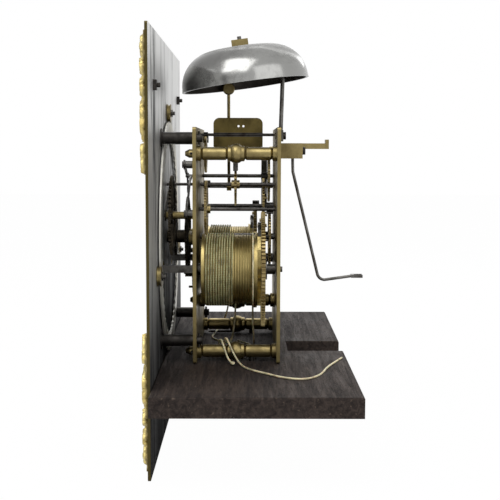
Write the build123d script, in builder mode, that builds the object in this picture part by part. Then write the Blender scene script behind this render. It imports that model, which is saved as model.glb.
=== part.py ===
from build123d import *
import math
import os

# A longcase clock movement with its square dial, on its seatboard.
# X is to the right seen from the dial, Y runs back from the front plate, Z is up.
# The origin is on the seatboard's underside, under the centre arbor, at the front plate's face.

os.makedirs("parts", exist_ok=True)

# Clearances
RUN = 0.06  # radial play of a pivot in its hole
SHAKE = 0.3  # end play of an arbor between the plates
AIR = 0.35  # gap between pieces that pass each other
FIT = 0.02  # gap round a fixed rod in its hole

# Seatboard
BOARD_WIDTH = 341.0
BOARD_FRONT = -23.7
BOARD_BACK = 117.4
BOARD_THICK = 14.0
BOARD_EDGE = 0.8
NOTCH_WIDTH = 38.6
NOTCH_FRONT = 73.0
RING_RECESS_WIDE = 54.0  # in the front edge, where the calendar ring dips below the top
LINE_SLOT_OUT = 22.0  # from the barrel's axis to the middle of its slot
LINE_SLOT_WIDTH = 10.0
LINE_SLOT_FRONT = 6.0
LINE_SLOT_BACK = 32.0
BOLT_R = 1.9
BOLT_Y = 44.0
BOLT_GRIP = 2.4  # how far the bolt goes past the pillar's axis
BOLT_HEAD_R = 6.0
BOLT_HEAD_THICK = 3.6

# Plates
PLATE_WIDTH = 140.0
PLATE_HEIGHT = 176.5
PLATE_THICK = 2.6
PLATE_GAP = 59.9
PLATE_CORNER = 2.0

# Pillars
PILLAR_X = 58.0
PILLAR_LOW = 7.8
PILLAR_HIGH = 157.0
PILLAR_MID = 38.0
PILLAR_R = 4.85
PILLAR_FLANGE_R = 5.6
PILLAR_FLANGE = 3.0
PILLAR_NECK = 0.9
PILLAR_BULB_R = 7.3
PILLAR_BULB = 8.0
PILLAR_BULB_Y = 32.0
PILLAR_RING = 2.0
PILLAR_TENON_R = 3.2
PILLAR_NOSE = 6.0
PIN_R = 0.9
PIN_LONG = 15.0
PILLAR_PIN_Y = -1.2
FOOT_PIN_LONG = 10.0
FOOT_PIN_Y = 4.2

# Dial
DIAL_SIDE = 305.0
DIAL_THICK = 2.0
DIAL_BACK = -24.1
DIAL_CORNER = 1.5
CENTRE_HOLE_R = 5.6
CHAPTER_OUTER = 138.0
CHAPTER_INNER = 98.0
CHAPTER_THICK = 1.5
SECONDS_OUTER = 29.0
SECONDS_INNER = 19.0
SECONDS_THICK = 1.5
WINDING_HOLE_R = 6.2
DATE_WINDOW_WIDTH = 13.0
DATE_WINDOW_HEIGHT = 10.4
SPANDREL_REACH = 99.0
SPANDREL_EDGE = 5.0
SPANDREL_THICK = 4.6
SPANDREL_RING_GAP = 3.0
SPANDREL_ROUND = 1.6
SPANDREL_SCREW = 114.0
SPANDREL_PIERCINGS = (  # along the edge, across it, radius of the hole
    (90.0, 134.0, 3.6),
    (103.0, 138.0, 3.0),
    (101.0, 127.0, 2.4),
    (117.0, 136.0, 3.6),
    (127.0, 127.0, 3.4),
    (78.0, 138.5, 2.6),
)
SCREW_R = 1.6
SCREW_HEAD_R = 3.0
SPANDREL_HEAD = 1.2
NUT_SIDE = 7.0
NUT_THICK = 2.4
FOOT_R = 4.4
FOOT_PIN_R = 3.0
FOOT_COLLAR_R = 7.0
FOOT_COLLAR = 0.8
FOOT_LOW = (64.0, 17.0)
FOOT_HIGH = (57.0, 168.5)

# Calendar ring and its rollers
RING_OUTER = 92.0
RING_INNER = 80.0
RING_TOOTH = 2.5
RING_TEETH = 62
RING_THICK = 1.2
RING_FRONT = -22.9
ROLLER_R = 7.35
ROLLER_NECK_R = 6.5
ROLLER_FLANGE = 0.5
ROLLER_STUD_R = 1.5
ROLLER_ANGLES = (90.0, -12.0, 192.0)

# Barrels and lines
BARREL_FRONT = 6.0
BARREL_R = 26.6
BARREL_FLANGE_R = 27.4
BARREL_REAR_FLANGE_R = 28.6
BARREL_FLANGE = 1.5
BARREL_ARBOR_R = 3.9
BARREL_BODY_R = 4.6
BARREL_REAR_R = 2.2
BARREL_REAR_OUT = 2.4
BARREL_COLLAR_R = 8.0
BARREL_COLLAR = 1.4
SQUARE_SIDE = 5.4
SQUARE_TIP = -25.0
SHOULDER = 1.0  # how far a through arbor's thick part stands out of the plate
GROOVES_FROM = 8.0
GROOVE_PITCH = 1.95
GROOVE_DEPTH = 0.45
LINE_R = 0.72
LINE_GAP = 0.16  # between the last turn on a barrel and the stretch that hangs from it
WINDING_FRONT = 8.6
BARREL_TAIL_Y = 44.8
GOING_TURNS = 11
STRIKE_TURNS = 9
RATCHET_TEETH = 24
RATCHET_R = 28.2
RATCHET_TOOTH = 3.0
RATCHET_THICK = 2.6
CLICK_PIVOT_R = 33.5
CLICK_LEAD = 22.5  # degrees from the held tooth to the click's pivot
CLICK_AT = 90.0
CLICK_BACK_R = 2.4
CLICK_STUD_R = 1.5
CLICK_THICK = 2.2
CLICK_AIR = 0.3
CLICK_FACE_AT = 2.6  # degrees between the beak and the tooth's face, so that the beak clears it as it lifts
SPRING_FOOT_R = 38.4
SPRING_FOOT_AT = 15.0
SPRING_THICK = 1.2

# Trains: teeth and the size of a tooth
GREAT_TEETH = 96
GREAT_MODULE = 0.9023
STRIKE_GREAT_TEETH = 84
STRIKE_GREAT_MODULE = 1.0
CENTRE_PINION = 8
CENTRE_TEETH = 60
CENTRE_MODULE = 0.8235
THIRD_PINION = 8
THIRD_TEETH = 56
THIRD_MODULE = 0.7885
ESCAPE_PINION = 7
ESCAPE_TEETH = 30
ESCAPE_R = 17.0
ESCAPE_TOOTH = 2.8
ESCAPE_RIM = 1.6
SPAN_TEETH = 8.5
MOTION_TEETH = 40
MOTION_MODULE = 0.85
HOUR_PINION = 6
HOUR_TEETH = 72
DATE_PINION = 28
DATE_TEETH = 56
DATE_MODULE = 1.06
PIN_PINION = 8
PIN_TEETH = 56
PIN_MODULE = 0.8
LIFT_PINS = 8
PIN_RIM = 7.0  # depth of the pin wheel's rim, in modules
PIN_CIRCLE_R = 18.0
GATHER_PINION = 7
GATHER_TEETH = 56
GATHER_MODULE = 0.75
WARN_PINION = 7
WARN_TEETH = 48
WARN_MODULE = 0.6
FLY_PINION = 6
PINION_OVER = 1.8  # how far a pinion reaches past the wheel that it meets

# Depths of the wheels between the plates, and in front of them
CENTRE_WHEEL_Y = 57.4
CENTRE_PINION_Y = 50.4
THIRD_WHEEL_Y = 7.0
ESCAPE_WHEEL_Y = 30.0
ESCAPE_THICK = 1.8
WHEEL_THICK = 1.8
GREAT_THICK = 2.9
GREAT_HUB = 12.0
GOING_GREAT_Y = 51.0
STRIKE_GREAT_Y = 45.6
PIN_WHEEL_Y = 52.8
WARN_WHEEL_Y = 5.2
CANNON_Y = -2.4
BRIDGE_Y = -5.4
LIFTER_Y = -5.9
HOUR_Y = -8.4
HOUR_THICK = 1.6
RACK_Y = -10.0
RACK_THICK = 1.3
DATE_Y = -18.2

# Arbors
PIVOT_R = 0.9
PIVOT_START = 0.2
ARBOR_R = 1.5
THROUGH_R = 1.2
COLLET_R = 3.4
COLLET = 2.4
CENTRE_R = 2.5
CENTRE_FRONT_R = 2.2
CENTRE_REAR_R = 1.2
HAND_ARBOR_R = 1.7
HAND_ARBOR_TIP = -36.5
CANNON_PIPE_R = 3.0
CANNON_TIP = -33.6
BRIDGE_THICK = 1.5
BRIDGE_HIGH = 12.0
BRIDGE_FOOT_X = 27.0
BRIDGE_FOOT_R = 4.5
BRIDGE_PIPE_R = 4.2
BRIDGE_PIPE_TIP = -20.0
BRIDGE_HEAD = 0.7
HOUR_PIPE_R = 5.2
HOUR_NECK_R = 4.6  # the front of the hour pipe, where the hand sits
HOUR_TIP = -31.0
SNAIL_LOW = 8.0
SNAIL_HIGH = 18.0
SNAIL_FROM = -75.0
HAND_THICK = 1.2
HOUR_HAND_Y = -30.6
MINUTE_HAND_Y = -33.2
HOUR_HAND = 68.0
MINUTE_HAND = 116.0
HAND_COLLET_R = 3.8
HAND_COLLET = 1.4
SECONDS_HAND = 18.0
SECONDS_HAND_Y = -28.9
SECONDS_HAND_THICK = 0.8
SECONDS_PIPE_R = 1.7
SECONDS_TIP = -29.4
REVERSE_STUD_R = 0.85
LIFT_PIN_AT = 11.0
LIFT_PIN_ANGLE = 270.0
DATE_PIPE_R = 2.85
DATE_COLLAR_R = 4.4  # collar of the finger that moves the ring
DATE_FINGER_ANGLE = 150.0
DATE_FINGER_WIDTH = 3.0
STUD_R = 1.5
STUD_HEAD = 0.8

# Escapement
NIB_GAP = 1.0
NIB_HALF = 1.3  # half a nib's width, in degrees round the escape wheel
ANCHOR_THICK = 3.6
CRUTCH_R = 1.2
CRUTCH_Y = 76.6
CRUTCH_COLLET_R = 3.4
CRUTCH_COLLET = 3.2
CRUTCH_KNEE = (77.0, 142.2)  # depth, and height above the seatboard
CRUTCH_HEEL = (98.8, 54.0)
CRUTCH_TIP = (126.0, 57.9)
FORK_LONG = 8.0
FORK_GAP = 5.0
FORK_BAR = 1.3

# Rack work
GATHER_REACH = 4.2
RACK_SPAN = 14.0
RACK_BEFORE = 3.0
RACK_TEETH = 14
RACK_TOOTH = 1.2
RACK_WIDE = 5.0
RACK_TAIL = (-14.0, -24.0)
HOOK_BACK = 10.65
LIFTER_THICK = 1.3
LIFTER_ELBOW = (8.0, 136.0)
LIFTER_NOSE = (-10.0, 138.1)

# Fly, hammer, bell
FLY_R = 13.8
FLY_FRONT = 12.4
FLY_BACK = 52.9
FLY_THICK = 0.9
FLY_CORNER = 5.0
FLY_HOLES = (33.0, 37.0)
FLY_HOLE_RISE = 7.0
HAMMER_Y = 24.5
HAMMER_COLLET_R = 3.8
HAMMER_STEM_R = 1.3
HAMMER_BEND = (-50.5, 147.0)
HAMMER_UPPER = (-45.0, 178.0)
HAMMER_HEAD = (-40.6, 210.5)
HAMMER_HEAD_LONG = 7.0
HAMMER_HEAD_R = 5.0
HAMMER_CHAMFER = 0.8
SPRING_HIGH = 40.0
BELL_R = 50.8
BELL_HEIGHT = 29.6
BELL_WALL = 2.0
BELL_TILT = 7.85
BELL_Y = 38.7
BELL_RISE = 211.0
BELL_LIP = 3.0
BELL_SHOULDER = (42.5, 21.0)
BELL_TOP = (26.0, 29.0)
BELL_NUT = 13.2
BELL_NUT_HIGH = 6.2
STAND_R = 1.65
STAND_FOOT = (0.0, 185.0)
STAND_FOOT_WIDE = 10.0
STAND_FOOT_HIGH = 9.0
STAND_FOOT_THICK = 3.9
STAND_BEND = (68.5, 222.0)  # depth, and height above the seatboard
STAND_DROP = 10.6
STAND_TIP = 2.8

# Back cock
COCK_FOOT_X = 16.5
COCK_FOOT_WIDE = 7.0
COCK_HIGH = 12.0
COCK_DEEP = 18.6
COCK_THICK = 3.5
COCK_ARM_WIDE = 10.0
COCK_ARM_THICK = 4.5
COCK_ARM_END = 105.4
COCK_LIP = 2.6
COCK_LIP_HIGH = 3.0
SUSPENSION_SLOT = 1.4
SUSPENSION_DEEP = 7.0
PALLET_HOLE_R = 5.0
COCK_HEAD = 2.2

# Places of the arbors, as (x, z)
TOP = BOARD_THICK
CENTRE = (0.0, TOP + 90.0)

def away(start, distance, degrees):
    """The place at a distance from start, at an angle up from the right."""
    a = math.radians(degrees)
    return (start[0] + distance * math.cos(a), start[1] + distance * math.sin(a))


def between(a, b):
    return math.hypot(b[0] - a[0], b[1] - a[1])


def meeting(a, reach_a, b, reach_b, side=1):
    """The place at reach_a from a and reach_b from b, on one side of the line between."""
    d = between(a, b)
    along = (reach_a**2 - reach_b**2 + d**2) / (2 * d)
    out = side * math.sqrt(reach_a**2 - along**2)
    ux, uz = (b[0] - a[0]) / d, (b[1] - a[1]) / d
    return (a[0] + along * ux + out * uz, a[1] + along * uz - out * ux)


def spacing(teeth_a, teeth_b, module):
    return module * (teeth_a + teeth_b) / 2


def mirrored(place):
    return (-place[0], place[1])


GREAT_SPACING = spacing(GREAT_TEETH, CENTRE_PINION, GREAT_MODULE)
GOING_BARREL = away(CENTRE, GREAT_SPACING, -27.55)
STRIKE_BARREL = mirrored(GOING_BARREL)
THIRD = away(CENTRE, spacing(CENTRE_TEETH, THIRD_PINION, CENTRE_MODULE), 55.2)
THIRD_SPACING = spacing(THIRD_TEETH, ESCAPE_PINION, THIRD_MODULE)
ESCAPE = (CENTRE[0], THIRD[1] + math.sqrt(THIRD_SPACING**2 - (THIRD[0] - CENTRE[0]) ** 2))
HALF_SPAN = SPAN_TEETH * 180.0 / ESCAPE_TEETH
PALLET = (ESCAPE[0], ESCAPE[1] + ESCAPE_R / math.cos(math.radians(HALF_SPAN)))
PIN_SPACING = spacing(STRIKE_GREAT_TEETH, PIN_PINION, STRIKE_GREAT_MODULE)
PIN_ARBOR = away(STRIKE_BARREL, PIN_SPACING, 76.7)
GATHER = away(PIN_ARBOR, spacing(PIN_TEETH, GATHER_PINION, PIN_MODULE), 100.3)
FLY = (CENTRE[0] - 21.0, TOP + PLATE_HEIGHT - 4.5)
GATHER_SPACING = spacing(GATHER_TEETH, WARN_PINION, GATHER_MODULE)
WARN_SPACING = spacing(WARN_TEETH, FLY_PINION, WARN_MODULE)
WARN = meeting(GATHER, GATHER_SPACING, FLY, WARN_SPACING)
REVERSE = away(CENTRE, MOTION_TEETH * MOTION_MODULE, -54.0)
HOUR_MODULE = 2 * MOTION_TEETH * MOTION_MODULE / (HOUR_TEETH + HOUR_PINION)
DATE_ARBOR = away(CENTRE, spacing(DATE_PINION, DATE_TEETH, DATE_MODULE), 26.1)
HAMMER = (STRIKE_BARREL[0] - 20.9, TOP + 128.0)
RACK_PIVOT = (-55.0, CENTRE[1] - 2.0)
HOOK_PIVOT = (14.0, PALLET[1] - 11.0)
LIFTER_PIVOT = (58.0, CENTRE[1] + 22.0)
BACK_PLATE_Y = PLATE_THICK + PLATE_GAP
BACK_FACE = BACK_PLATE_Y + PLATE_THICK
PLATE_FRONT_IN = PLATE_THICK + SHAKE
PLATE_BACK_IN = BACK_PLATE_Y - SHAKE
DIAL_FRONT = DIAL_BACK - DIAL_THICK
RING_AXIS_R = RING_OUTER + ROLLER_NECK_R + RUN
SPRING_FOOT = (HAMMER[0] - 3.5, TOP + 111.0)


def face_at(y):
    """The plane across the depth y, with X to the right and Z up."""
    return Plane.XZ.offset(-y)


def slab(y_near, y_far, drawn=None, mode=Mode.ADD):
    """Extrude what was drawn at y_near back to y_far."""
    extrude(drawn.sketch if drawn else None, amount=y_near - y_far, mode=mode)


def disc(place, radius, y_near, y_far, mode=Mode.ADD):
    """A round bar or disc along the depth."""
    with BuildSketch(face_at(y_near)) as drawn:
        with Locations(place):
            Circle(radius)
    slab(y_near, y_far, drawn, mode)


def plate_shape(points, y_near, y_far, mode=Mode.ADD):
    """A flat piece with a straight-sided outline."""
    with BuildSketch(face_at(y_near)) as drawn:
        with BuildLine():
            Polyline(*points, close=True)
        make_face()
    slab(y_near, y_far, drawn, mode)


def turned(place, start, *steps, mode=Mode.ADD):
    """A turned rod along the depth; each step is its radius and where it ends."""
    points = [(0, start)]
    for radius, end in steps:
        points += [(radius, start), (radius, end)]
        start = end
    points.append((0, start))
    with BuildSketch(Plane(origin=(place[0], 0, place[1]))) as drawn:
        with BuildLine():
            Polyline(*points, close=True)
        make_face()
    revolve(drawn.sketch, axis=Axis((place[0], 0, place[1]), (0, 1, 0)), mode=mode)


def teeth_outline(place, count, radii, widths, phase=0.0):
    """The outline of a toothed wheel. radii and widths go from a tooth's root to its tip;
    a width is half the tooth's, as a share of the pitch."""
    pitch = 2 * math.pi / count
    points = []
    for n in range(count):
        middle = phase + n * pitch
        flank = list(zip(radii, widths))
        for side, steps in ((-1, flank), (1, flank[::-1])):
            for radius, width in steps:
                a = middle + side * width * pitch
                points.append((place[0] + radius * math.cos(a), place[1] + radius * math.sin(a)))
    return points


def wheel_outline(place, count, module, phase=0.0):
    """Wheel teeth: stout roots and narrow tips."""
    r = count * module / 2
    return teeth_outline(place, count, (r - 1.15 * module, r, r + 0.85 * module), (0.24, 0.2, 0.09), phase)


def pinion_outline(place, count, module, phase=0.0):
    """Pinion leaves: thin, with straight sides and narrowed tips."""
    r = count * module / 2
    return teeth_outline(place, count, (r - 1.25 * module, r, r + 0.5 * module), (0.17, 0.135, 0.06), phase)


def meshing_phase(a, b, count_a, count_b, phase_a=0.0):
    """The phase that puts a gap of wheel b opposite a tooth of wheel a."""
    line = math.atan2(b[1] - a[1], b[0] - a[0])
    pitch_a, pitch_b = 2 * math.pi / count_a, 2 * math.pi / count_b
    shift = (phase_a - line) / pitch_a
    return line + math.pi - pitch_b * (shift + 0.5)


def crossings(place, count, hub, rim, arm, y_near, y_far):
    """Cut the spaces between a wheel's spokes."""
    with BuildSketch(face_at(y_near)) as drawn:
        with Locations(place):
            Circle(rim)
            Circle(hub, mode=Mode.SUBTRACT)
            with PolarLocations(rim / 2, count):
                Rectangle(rim + arm, arm, mode=Mode.SUBTRACT)
    slab(y_near, y_far, drawn, Mode.SUBTRACT)


def wheel(place, count, module, y, thick, bore=0.0, phase=0.0, hub=None, rim_depth=3.2):
    """A brass wheel with four crossed-out arms; a bore of nothing leaves it solid."""
    plate_shape(wheel_outline(place, count, module, phase), y, y + thick)
    r = count * module / 2
    crossings(place, 4, hub or 0.3 * r, r - rim_depth * module, 0.16 * r, y, y + thick)
    if bore:
        disc(place, bore, y, y + thick, mode=Mode.SUBTRACT)


def pinion(place, leaves, module, y_near, y_far, phase=0.0):
    plate_shape(pinion_outline(place, leaves, module, phase), y_near, y_far)


def pivoted(place, *middle):
    """An arbor between the plates: thin pivots at both ends, and the steps between."""
    turned(
        place,
        PIVOT_START,
        (PIVOT_R, PLATE_FRONT_IN),
        *middle,
        (PIVOT_R, BACK_FACE - PIVOT_START),
    )


def collet(place, y):
    """The brass hub behind a wheel."""
    disc(place, COLLET_R, y, y + COLLET)


def arm(a, b, wide_a, wide_b, y, thick):
    """A tapering flat arm from a to b."""
    d = between(a, b)
    ux, uz = (b[0] - a[0]) / d, (b[1] - a[1]) / d
    corners = []
    for place, half in ((a, wide_a / 2), (b, wide_b / 2), (b, -wide_b / 2), (a, -wide_a / 2)):
        corners.append((place[0] + uz * half, place[1] - ux * half))
    plate_shape(corners, y, y + thick)


def high(place):
    """A place given by its height above the seatboard."""
    return (place[0], TOP + place[1])


def round_rod(radius, *points, bends):
    """A round bar along straight runs joined by arcs."""
    with BuildLine() as path:
        FilletPolyline(*points, radius=bends)
    with BuildSketch(Plane(path.line @ 0, z_dir=path.line % 0)) as drawn:
        Circle(radius)
    sweep(drawn.sketch, path=path.line)


def save(name, built):
    built.part.label = name
    export_step(built.part, f"parts/{name}.step")


# Seatboard and its bolts

with BuildPart() as seatboard:
    with BuildSketch(Plane.XY):
        with Locations((0, (BOARD_FRONT + BOARD_BACK) / 2)):
            Rectangle(BOARD_WIDTH, BOARD_BACK - BOARD_FRONT)
        with Locations((0, NOTCH_FRONT + BOARD_BACK)):
            Rectangle(NOTCH_WIDTH, 2 * BOARD_BACK, mode=Mode.SUBTRACT)
    extrude(amount=BOARD_THICK)
    chamfer(seatboard.edges().group_by(Axis.Z)[-1], BOARD_EDGE)
    with BuildSketch(Plane.XY):
        for barrel_axis in (GOING_BARREL, STRIKE_BARREL):
            with Locations((barrel_axis[0] - LINE_SLOT_OUT, (LINE_SLOT_FRONT + LINE_SLOT_BACK) / 2)):
                SlotOverall(LINE_SLOT_BACK - LINE_SLOT_FRONT, LINE_SLOT_WIDTH, rotation=90)
        with Locations((-PILLAR_X, BOLT_Y), (PILLAR_X, BOLT_Y)):
            Circle(BOLT_R + FIT)
    extrude(amount=BOARD_THICK, mode=Mode.SUBTRACT)
    with BuildSketch(Plane.XY):
        with Locations((-PILLAR_X, BOLT_Y), (PILLAR_X, BOLT_Y)):
            Circle(BOLT_HEAD_R + AIR)
    extrude(amount=BOLT_HEAD_THICK + AIR, mode=Mode.SUBTRACT)
    recess_from = CENTRE[1] - RING_OUTER - 2 * AIR
    with BuildSketch(Plane.XY.offset(recess_from)):
        with Locations((CENTRE[0], BOARD_FRONT)):
            Rectangle(RING_RECESS_WIDE, 2 * (RING_FRONT + RING_THICK + 2 * AIR - BOARD_FRONT))
    extrude(amount=BOARD_THICK, mode=Mode.SUBTRACT)
save("seatboard", seatboard)

BOLT_TIP = TOP + PILLAR_LOW + BOLT_GRIP
with BuildPart() as seatboard_bolts:
    for side in (-1, 1):
        with BuildSketch(Plane.XY.offset(AIR)):
            with Locations((side * PILLAR_X, BOLT_Y)):
                RegularPolygon(BOLT_HEAD_R, 4, rotation=45)
        extrude(amount=BOLT_HEAD_THICK)
        with BuildSketch(Plane.XY.offset(AIR)):
            with Locations((side * PILLAR_X, BOLT_Y)):
                Circle(BOLT_R)
        extrude(amount=BOLT_TIP - AIR)
save("seatboard_bolts", seatboard_bolts)


# Plates

PILLARS = [(side * PILLAR_X, TOP + z) for side in (-1, 1) for z in (PILLAR_LOW, PILLAR_HIGH)]
PILLARS.append((CENTRE[0], TOP + PILLAR_MID))
FEET = [(side * x, TOP + z) for side in (-1, 1) for x, z in (FOOT_LOW, FOOT_HIGH)]
PIVOTS = [THIRD, PALLET, PIN_ARBOR, WARN, FLY, HAMMER]
FRONT_STUDS = [REVERSE, DATE_ARBOR, RACK_PIVOT, HOOK_PIVOT, LIFTER_PIVOT]
BRIDGE_SCREWS = [(CENTRE[0] - BRIDGE_FOOT_X, CENTRE[1]), (CENTRE[0] + BRIDGE_FOOT_X, CENTRE[1])]
COCK_SCREWS = [(PALLET[0] - COCK_FOOT_X, PALLET[1]), (PALLET[0] + COCK_FOOT_X, PALLET[1])]
RACK_SPRING = (RACK_PIVOT[0] - 9.0, RACK_PIVOT[1] - 16.0)


def blank_plate(y, pivots):
    """A plate with rounded corners and the holes for the pillars and pivots."""
    with BuildSketch(face_at(y)) as drawn:
        with Locations((0, TOP + PLATE_HEIGHT / 2)):
            RectangleRounded(PLATE_WIDTH, PLATE_HEIGHT, PLATE_CORNER)
        with Locations(*PILLARS):
            Circle(PILLAR_TENON_R + FIT, mode=Mode.SUBTRACT)
        with Locations(*pivots):
            Circle(PIVOT_R + RUN, mode=Mode.SUBTRACT)
    slab(y, y + PLATE_THICK, drawn)


def drill(places, radius, y):
    """Holes through the plate whose near face is at y."""
    for place in places:
        disc(place, radius, y, y + PLATE_THICK, mode=Mode.SUBTRACT)


with BuildPart() as front_plate:
    blank_plate(0, PIVOTS)
    drill((GOING_BARREL, STRIKE_BARREL), BARREL_ARBOR_R + RUN, 0)
    drill((CENTRE,), CENTRE_FRONT_R + RUN, 0)
    drill((ESCAPE, GATHER), THROUGH_R + RUN, 0)
    drill(FEET, FOOT_PIN_R + FIT, 0)
    drill(FRONT_STUDS, STUD_R + FIT, 0)
    drill(BRIDGE_SCREWS, SCREW_R + FIT, 0)
save("front_plate", front_plate)

with BuildPart() as back_plate:
    blank_plate(BACK_PLATE_Y, [place for place in PIVOTS if place != PALLET])
    drill((GOING_BARREL, STRIKE_BARREL), BARREL_REAR_R + RUN, BACK_PLATE_Y)
    drill((CENTRE,), CENTRE_REAR_R + RUN, BACK_PLATE_Y)
    drill((ESCAPE, GATHER), PIVOT_R + RUN, BACK_PLATE_Y)
    drill((PALLET,), PALLET_HOLE_R, BACK_PLATE_Y)
    drill((*COCK_SCREWS, STAND_FOOT, SPRING_FOOT), SCREW_R + FIT, BACK_PLATE_Y)
save("back_plate", back_plate)


# Pillars, with a riveted tenon behind and a pinned nose in front

with BuildPart() as pillars:
    flange_end = PLATE_THICK + PILLAR_FLANGE
    rear_flange = BACK_PLATE_Y - PILLAR_FLANGE
    bulb_near = PILLAR_BULB_Y - PILLAR_BULB / 2
    bulb_far = PILLAR_BULB_Y + PILLAR_BULB / 2
    collar_r = PILLAR_R + PILLAR_NECK
    waist_r = PILLAR_R - PILLAR_NECK
    for place in PILLARS:
        with BuildSketch(Plane(origin=(place[0], 0, place[1]))):
            with BuildLine():
                front = Polyline(
                    (0, -PILLAR_NOSE),
                    (PILLAR_TENON_R / 2, -PILLAR_NOSE),
                    (PILLAR_TENON_R, -PILLAR_NOSE / 2),
                    (PILLAR_TENON_R, PLATE_THICK),
                    (PILLAR_FLANGE_R, PLATE_THICK),
                    (PILLAR_FLANGE_R, flange_end),
                    (waist_r, flange_end + PILLAR_NECK),
                    (PILLAR_R, flange_end + 2 * PILLAR_NECK),
                    (PILLAR_R, bulb_near - PILLAR_RING - 2 * PILLAR_NECK),
                    (waist_r, bulb_near - PILLAR_RING - PILLAR_NECK),
                    (collar_r, bulb_near - PILLAR_RING),
                    (collar_r, bulb_near),
                )
                bulb = ThreePointArc(front @ 1, (PILLAR_BULB_R, PILLAR_BULB_Y), (collar_r, bulb_far))
                Polyline(
                    bulb @ 1,
                    (collar_r, bulb_far + PILLAR_RING),
                    (waist_r, bulb_far + PILLAR_RING + PILLAR_NECK),
                    (PILLAR_R, bulb_far + PILLAR_RING + 2 * PILLAR_NECK),
                    (PILLAR_R, rear_flange - 2 * PILLAR_NECK),
                    (waist_r, rear_flange - PILLAR_NECK),
                    (PILLAR_FLANGE_R, rear_flange),
                    (PILLAR_FLANGE_R, BACK_PLATE_Y),
                    (PILLAR_TENON_R, BACK_PLATE_Y),
                    (PILLAR_TENON_R, BACK_FACE),
                    (0, BACK_FACE),
                    (0, -PILLAR_NOSE),
                )
            make_face()
        revolve(axis=Axis((place[0], 0, place[1]), (0, 1, 0)))
    for place in PILLARS:
        with BuildSketch(Plane.YZ.offset(place[0] - PIN_LONG)):
            with Locations((PILLAR_PIN_Y, place[1])):
                Circle(PIN_R + FIT)
        extrude(amount=2 * PIN_LONG, mode=Mode.SUBTRACT)
    with BuildSketch(Plane.XY):
        with Locations((-PILLAR_X, BOLT_Y), (PILLAR_X, BOLT_Y)):
            Circle(BOLT_R + FIT)
    extrude(amount=BOLT_TIP + AIR, mode=Mode.SUBTRACT)
save("pillars", pillars)

# Dial, its rings, spandrels and feet

with BuildPart() as dial_plate:
    with BuildSketch(face_at(DIAL_FRONT)):
        with Locations(CENTRE):
            RectangleRounded(DIAL_SIDE, DIAL_SIDE, DIAL_CORNER)
            Circle(CENTRE_HOLE_R, mode=Mode.SUBTRACT)
        with Locations(GOING_BARREL, STRIKE_BARREL):
            Circle(WINDING_HOLE_R, mode=Mode.SUBTRACT)
        with Locations(ESCAPE):
            Circle(THROUGH_R + AIR, mode=Mode.SUBTRACT)
        with Locations((CENTRE[0], CENTRE[1] - (RING_OUTER + RING_INNER) / 2)):
            Rectangle(DATE_WINDOW_WIDTH, DATE_WINDOW_HEIGHT, mode=Mode.SUBTRACT)
        with Locations(CENTRE):
            with GridLocations(2 * SPANDREL_SCREW, 2 * SPANDREL_SCREW, 2, 2):
                Circle(SCREW_R + FIT, mode=Mode.SUBTRACT)
    slab(DIAL_FRONT, DIAL_BACK)
save("dial_plate", dial_plate)

with BuildPart() as dial_rings:
    with BuildSketch(face_at(DIAL_FRONT - CHAPTER_THICK)):
        with Locations(CENTRE):
            Circle(CHAPTER_OUTER)
            Circle(CHAPTER_INNER, mode=Mode.SUBTRACT)
    slab(DIAL_FRONT - CHAPTER_THICK, DIAL_FRONT)
    with BuildSketch(face_at(DIAL_FRONT - SECONDS_THICK)):
        with Locations(ESCAPE):
            Circle(SECONDS_OUTER)
            Circle(SECONDS_INNER, mode=Mode.SUBTRACT)
    slab(DIAL_FRONT - SECONDS_THICK, DIAL_FRONT)
save("dial_rings", dial_rings)

SPANDREL_SIDE = SPANDREL_REACH - SPANDREL_EDGE
SPANDREL_STEP = DIAL_SIDE - SPANDREL_REACH - SPANDREL_EDGE
with BuildPart() as spandrels:
    with BuildSketch(face_at(DIAL_FRONT - SPANDREL_THICK)) as corner_pieces:
        with Locations(CENTRE):
            with GridLocations(SPANDREL_STEP, SPANDREL_STEP, 2, 2):
                Rectangle(SPANDREL_SIDE, SPANDREL_SIDE)
            Circle(CHAPTER_OUTER + SPANDREL_RING_GAP, mode=Mode.SUBTRACT)
        fillet(corner_pieces.vertices(), SPANDREL_ROUND)
        with Locations(CENTRE):
            with GridLocations(2 * SPANDREL_SCREW, 2 * SPANDREL_SCREW, 2, 2):
                Circle(SCREW_R + FIT, mode=Mode.SUBTRACT)
            for sx in (-1, 1):
                for sz in (-1, 1):
                    for along, across, size in SPANDREL_PIERCINGS:
                        with Locations((sx * along, sz * across), (sx * across, sz * along)):
                            Circle(size, mode=Mode.SUBTRACT)
    slab(DIAL_FRONT - SPANDREL_THICK, DIAL_FRONT)
save("spandrels", spandrels)

with BuildPart() as spandrel_screws:
    face = DIAL_FRONT - SPANDREL_THICK
    for sx in (-1, 1):
        for sz in (-1, 1):
            place = (CENTRE[0] + sx * SPANDREL_SCREW, CENTRE[1] + sz * SPANDREL_SCREW)
            disc(place, SCREW_HEAD_R, face - SPANDREL_HEAD, face)
            disc(place, SCREW_R, face, DIAL_BACK + 2 * NUT_THICK)
            with BuildSketch(face_at(DIAL_BACK)):
                with Locations(place):
                    Rectangle(NUT_SIDE, NUT_SIDE)
            slab(DIAL_BACK, DIAL_BACK + NUT_THICK)
save("spandrel_screws", spandrel_screws)

with BuildPart() as dial_feet:
    for place in FEET:
        turned(
            place,
            DIAL_BACK,
            (FOOT_COLLAR_R, DIAL_BACK + FOOT_COLLAR),
            (FOOT_R, 0),
            (FOOT_PIN_R, FOOT_PIN_Y + 3 * PIN_R),
        )
        with BuildSketch(Plane.XY.offset(place[1] - PIN_LONG)):
            with Locations((place[0], FOOT_PIN_Y)):
                Circle(PIN_R + FIT)
        extrude(amount=2 * PIN_LONG, mode=Mode.SUBTRACT)
save("dial_feet", dial_feet)


# Calendar ring on its three rollers, and the wheel that moves it once a day

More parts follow.
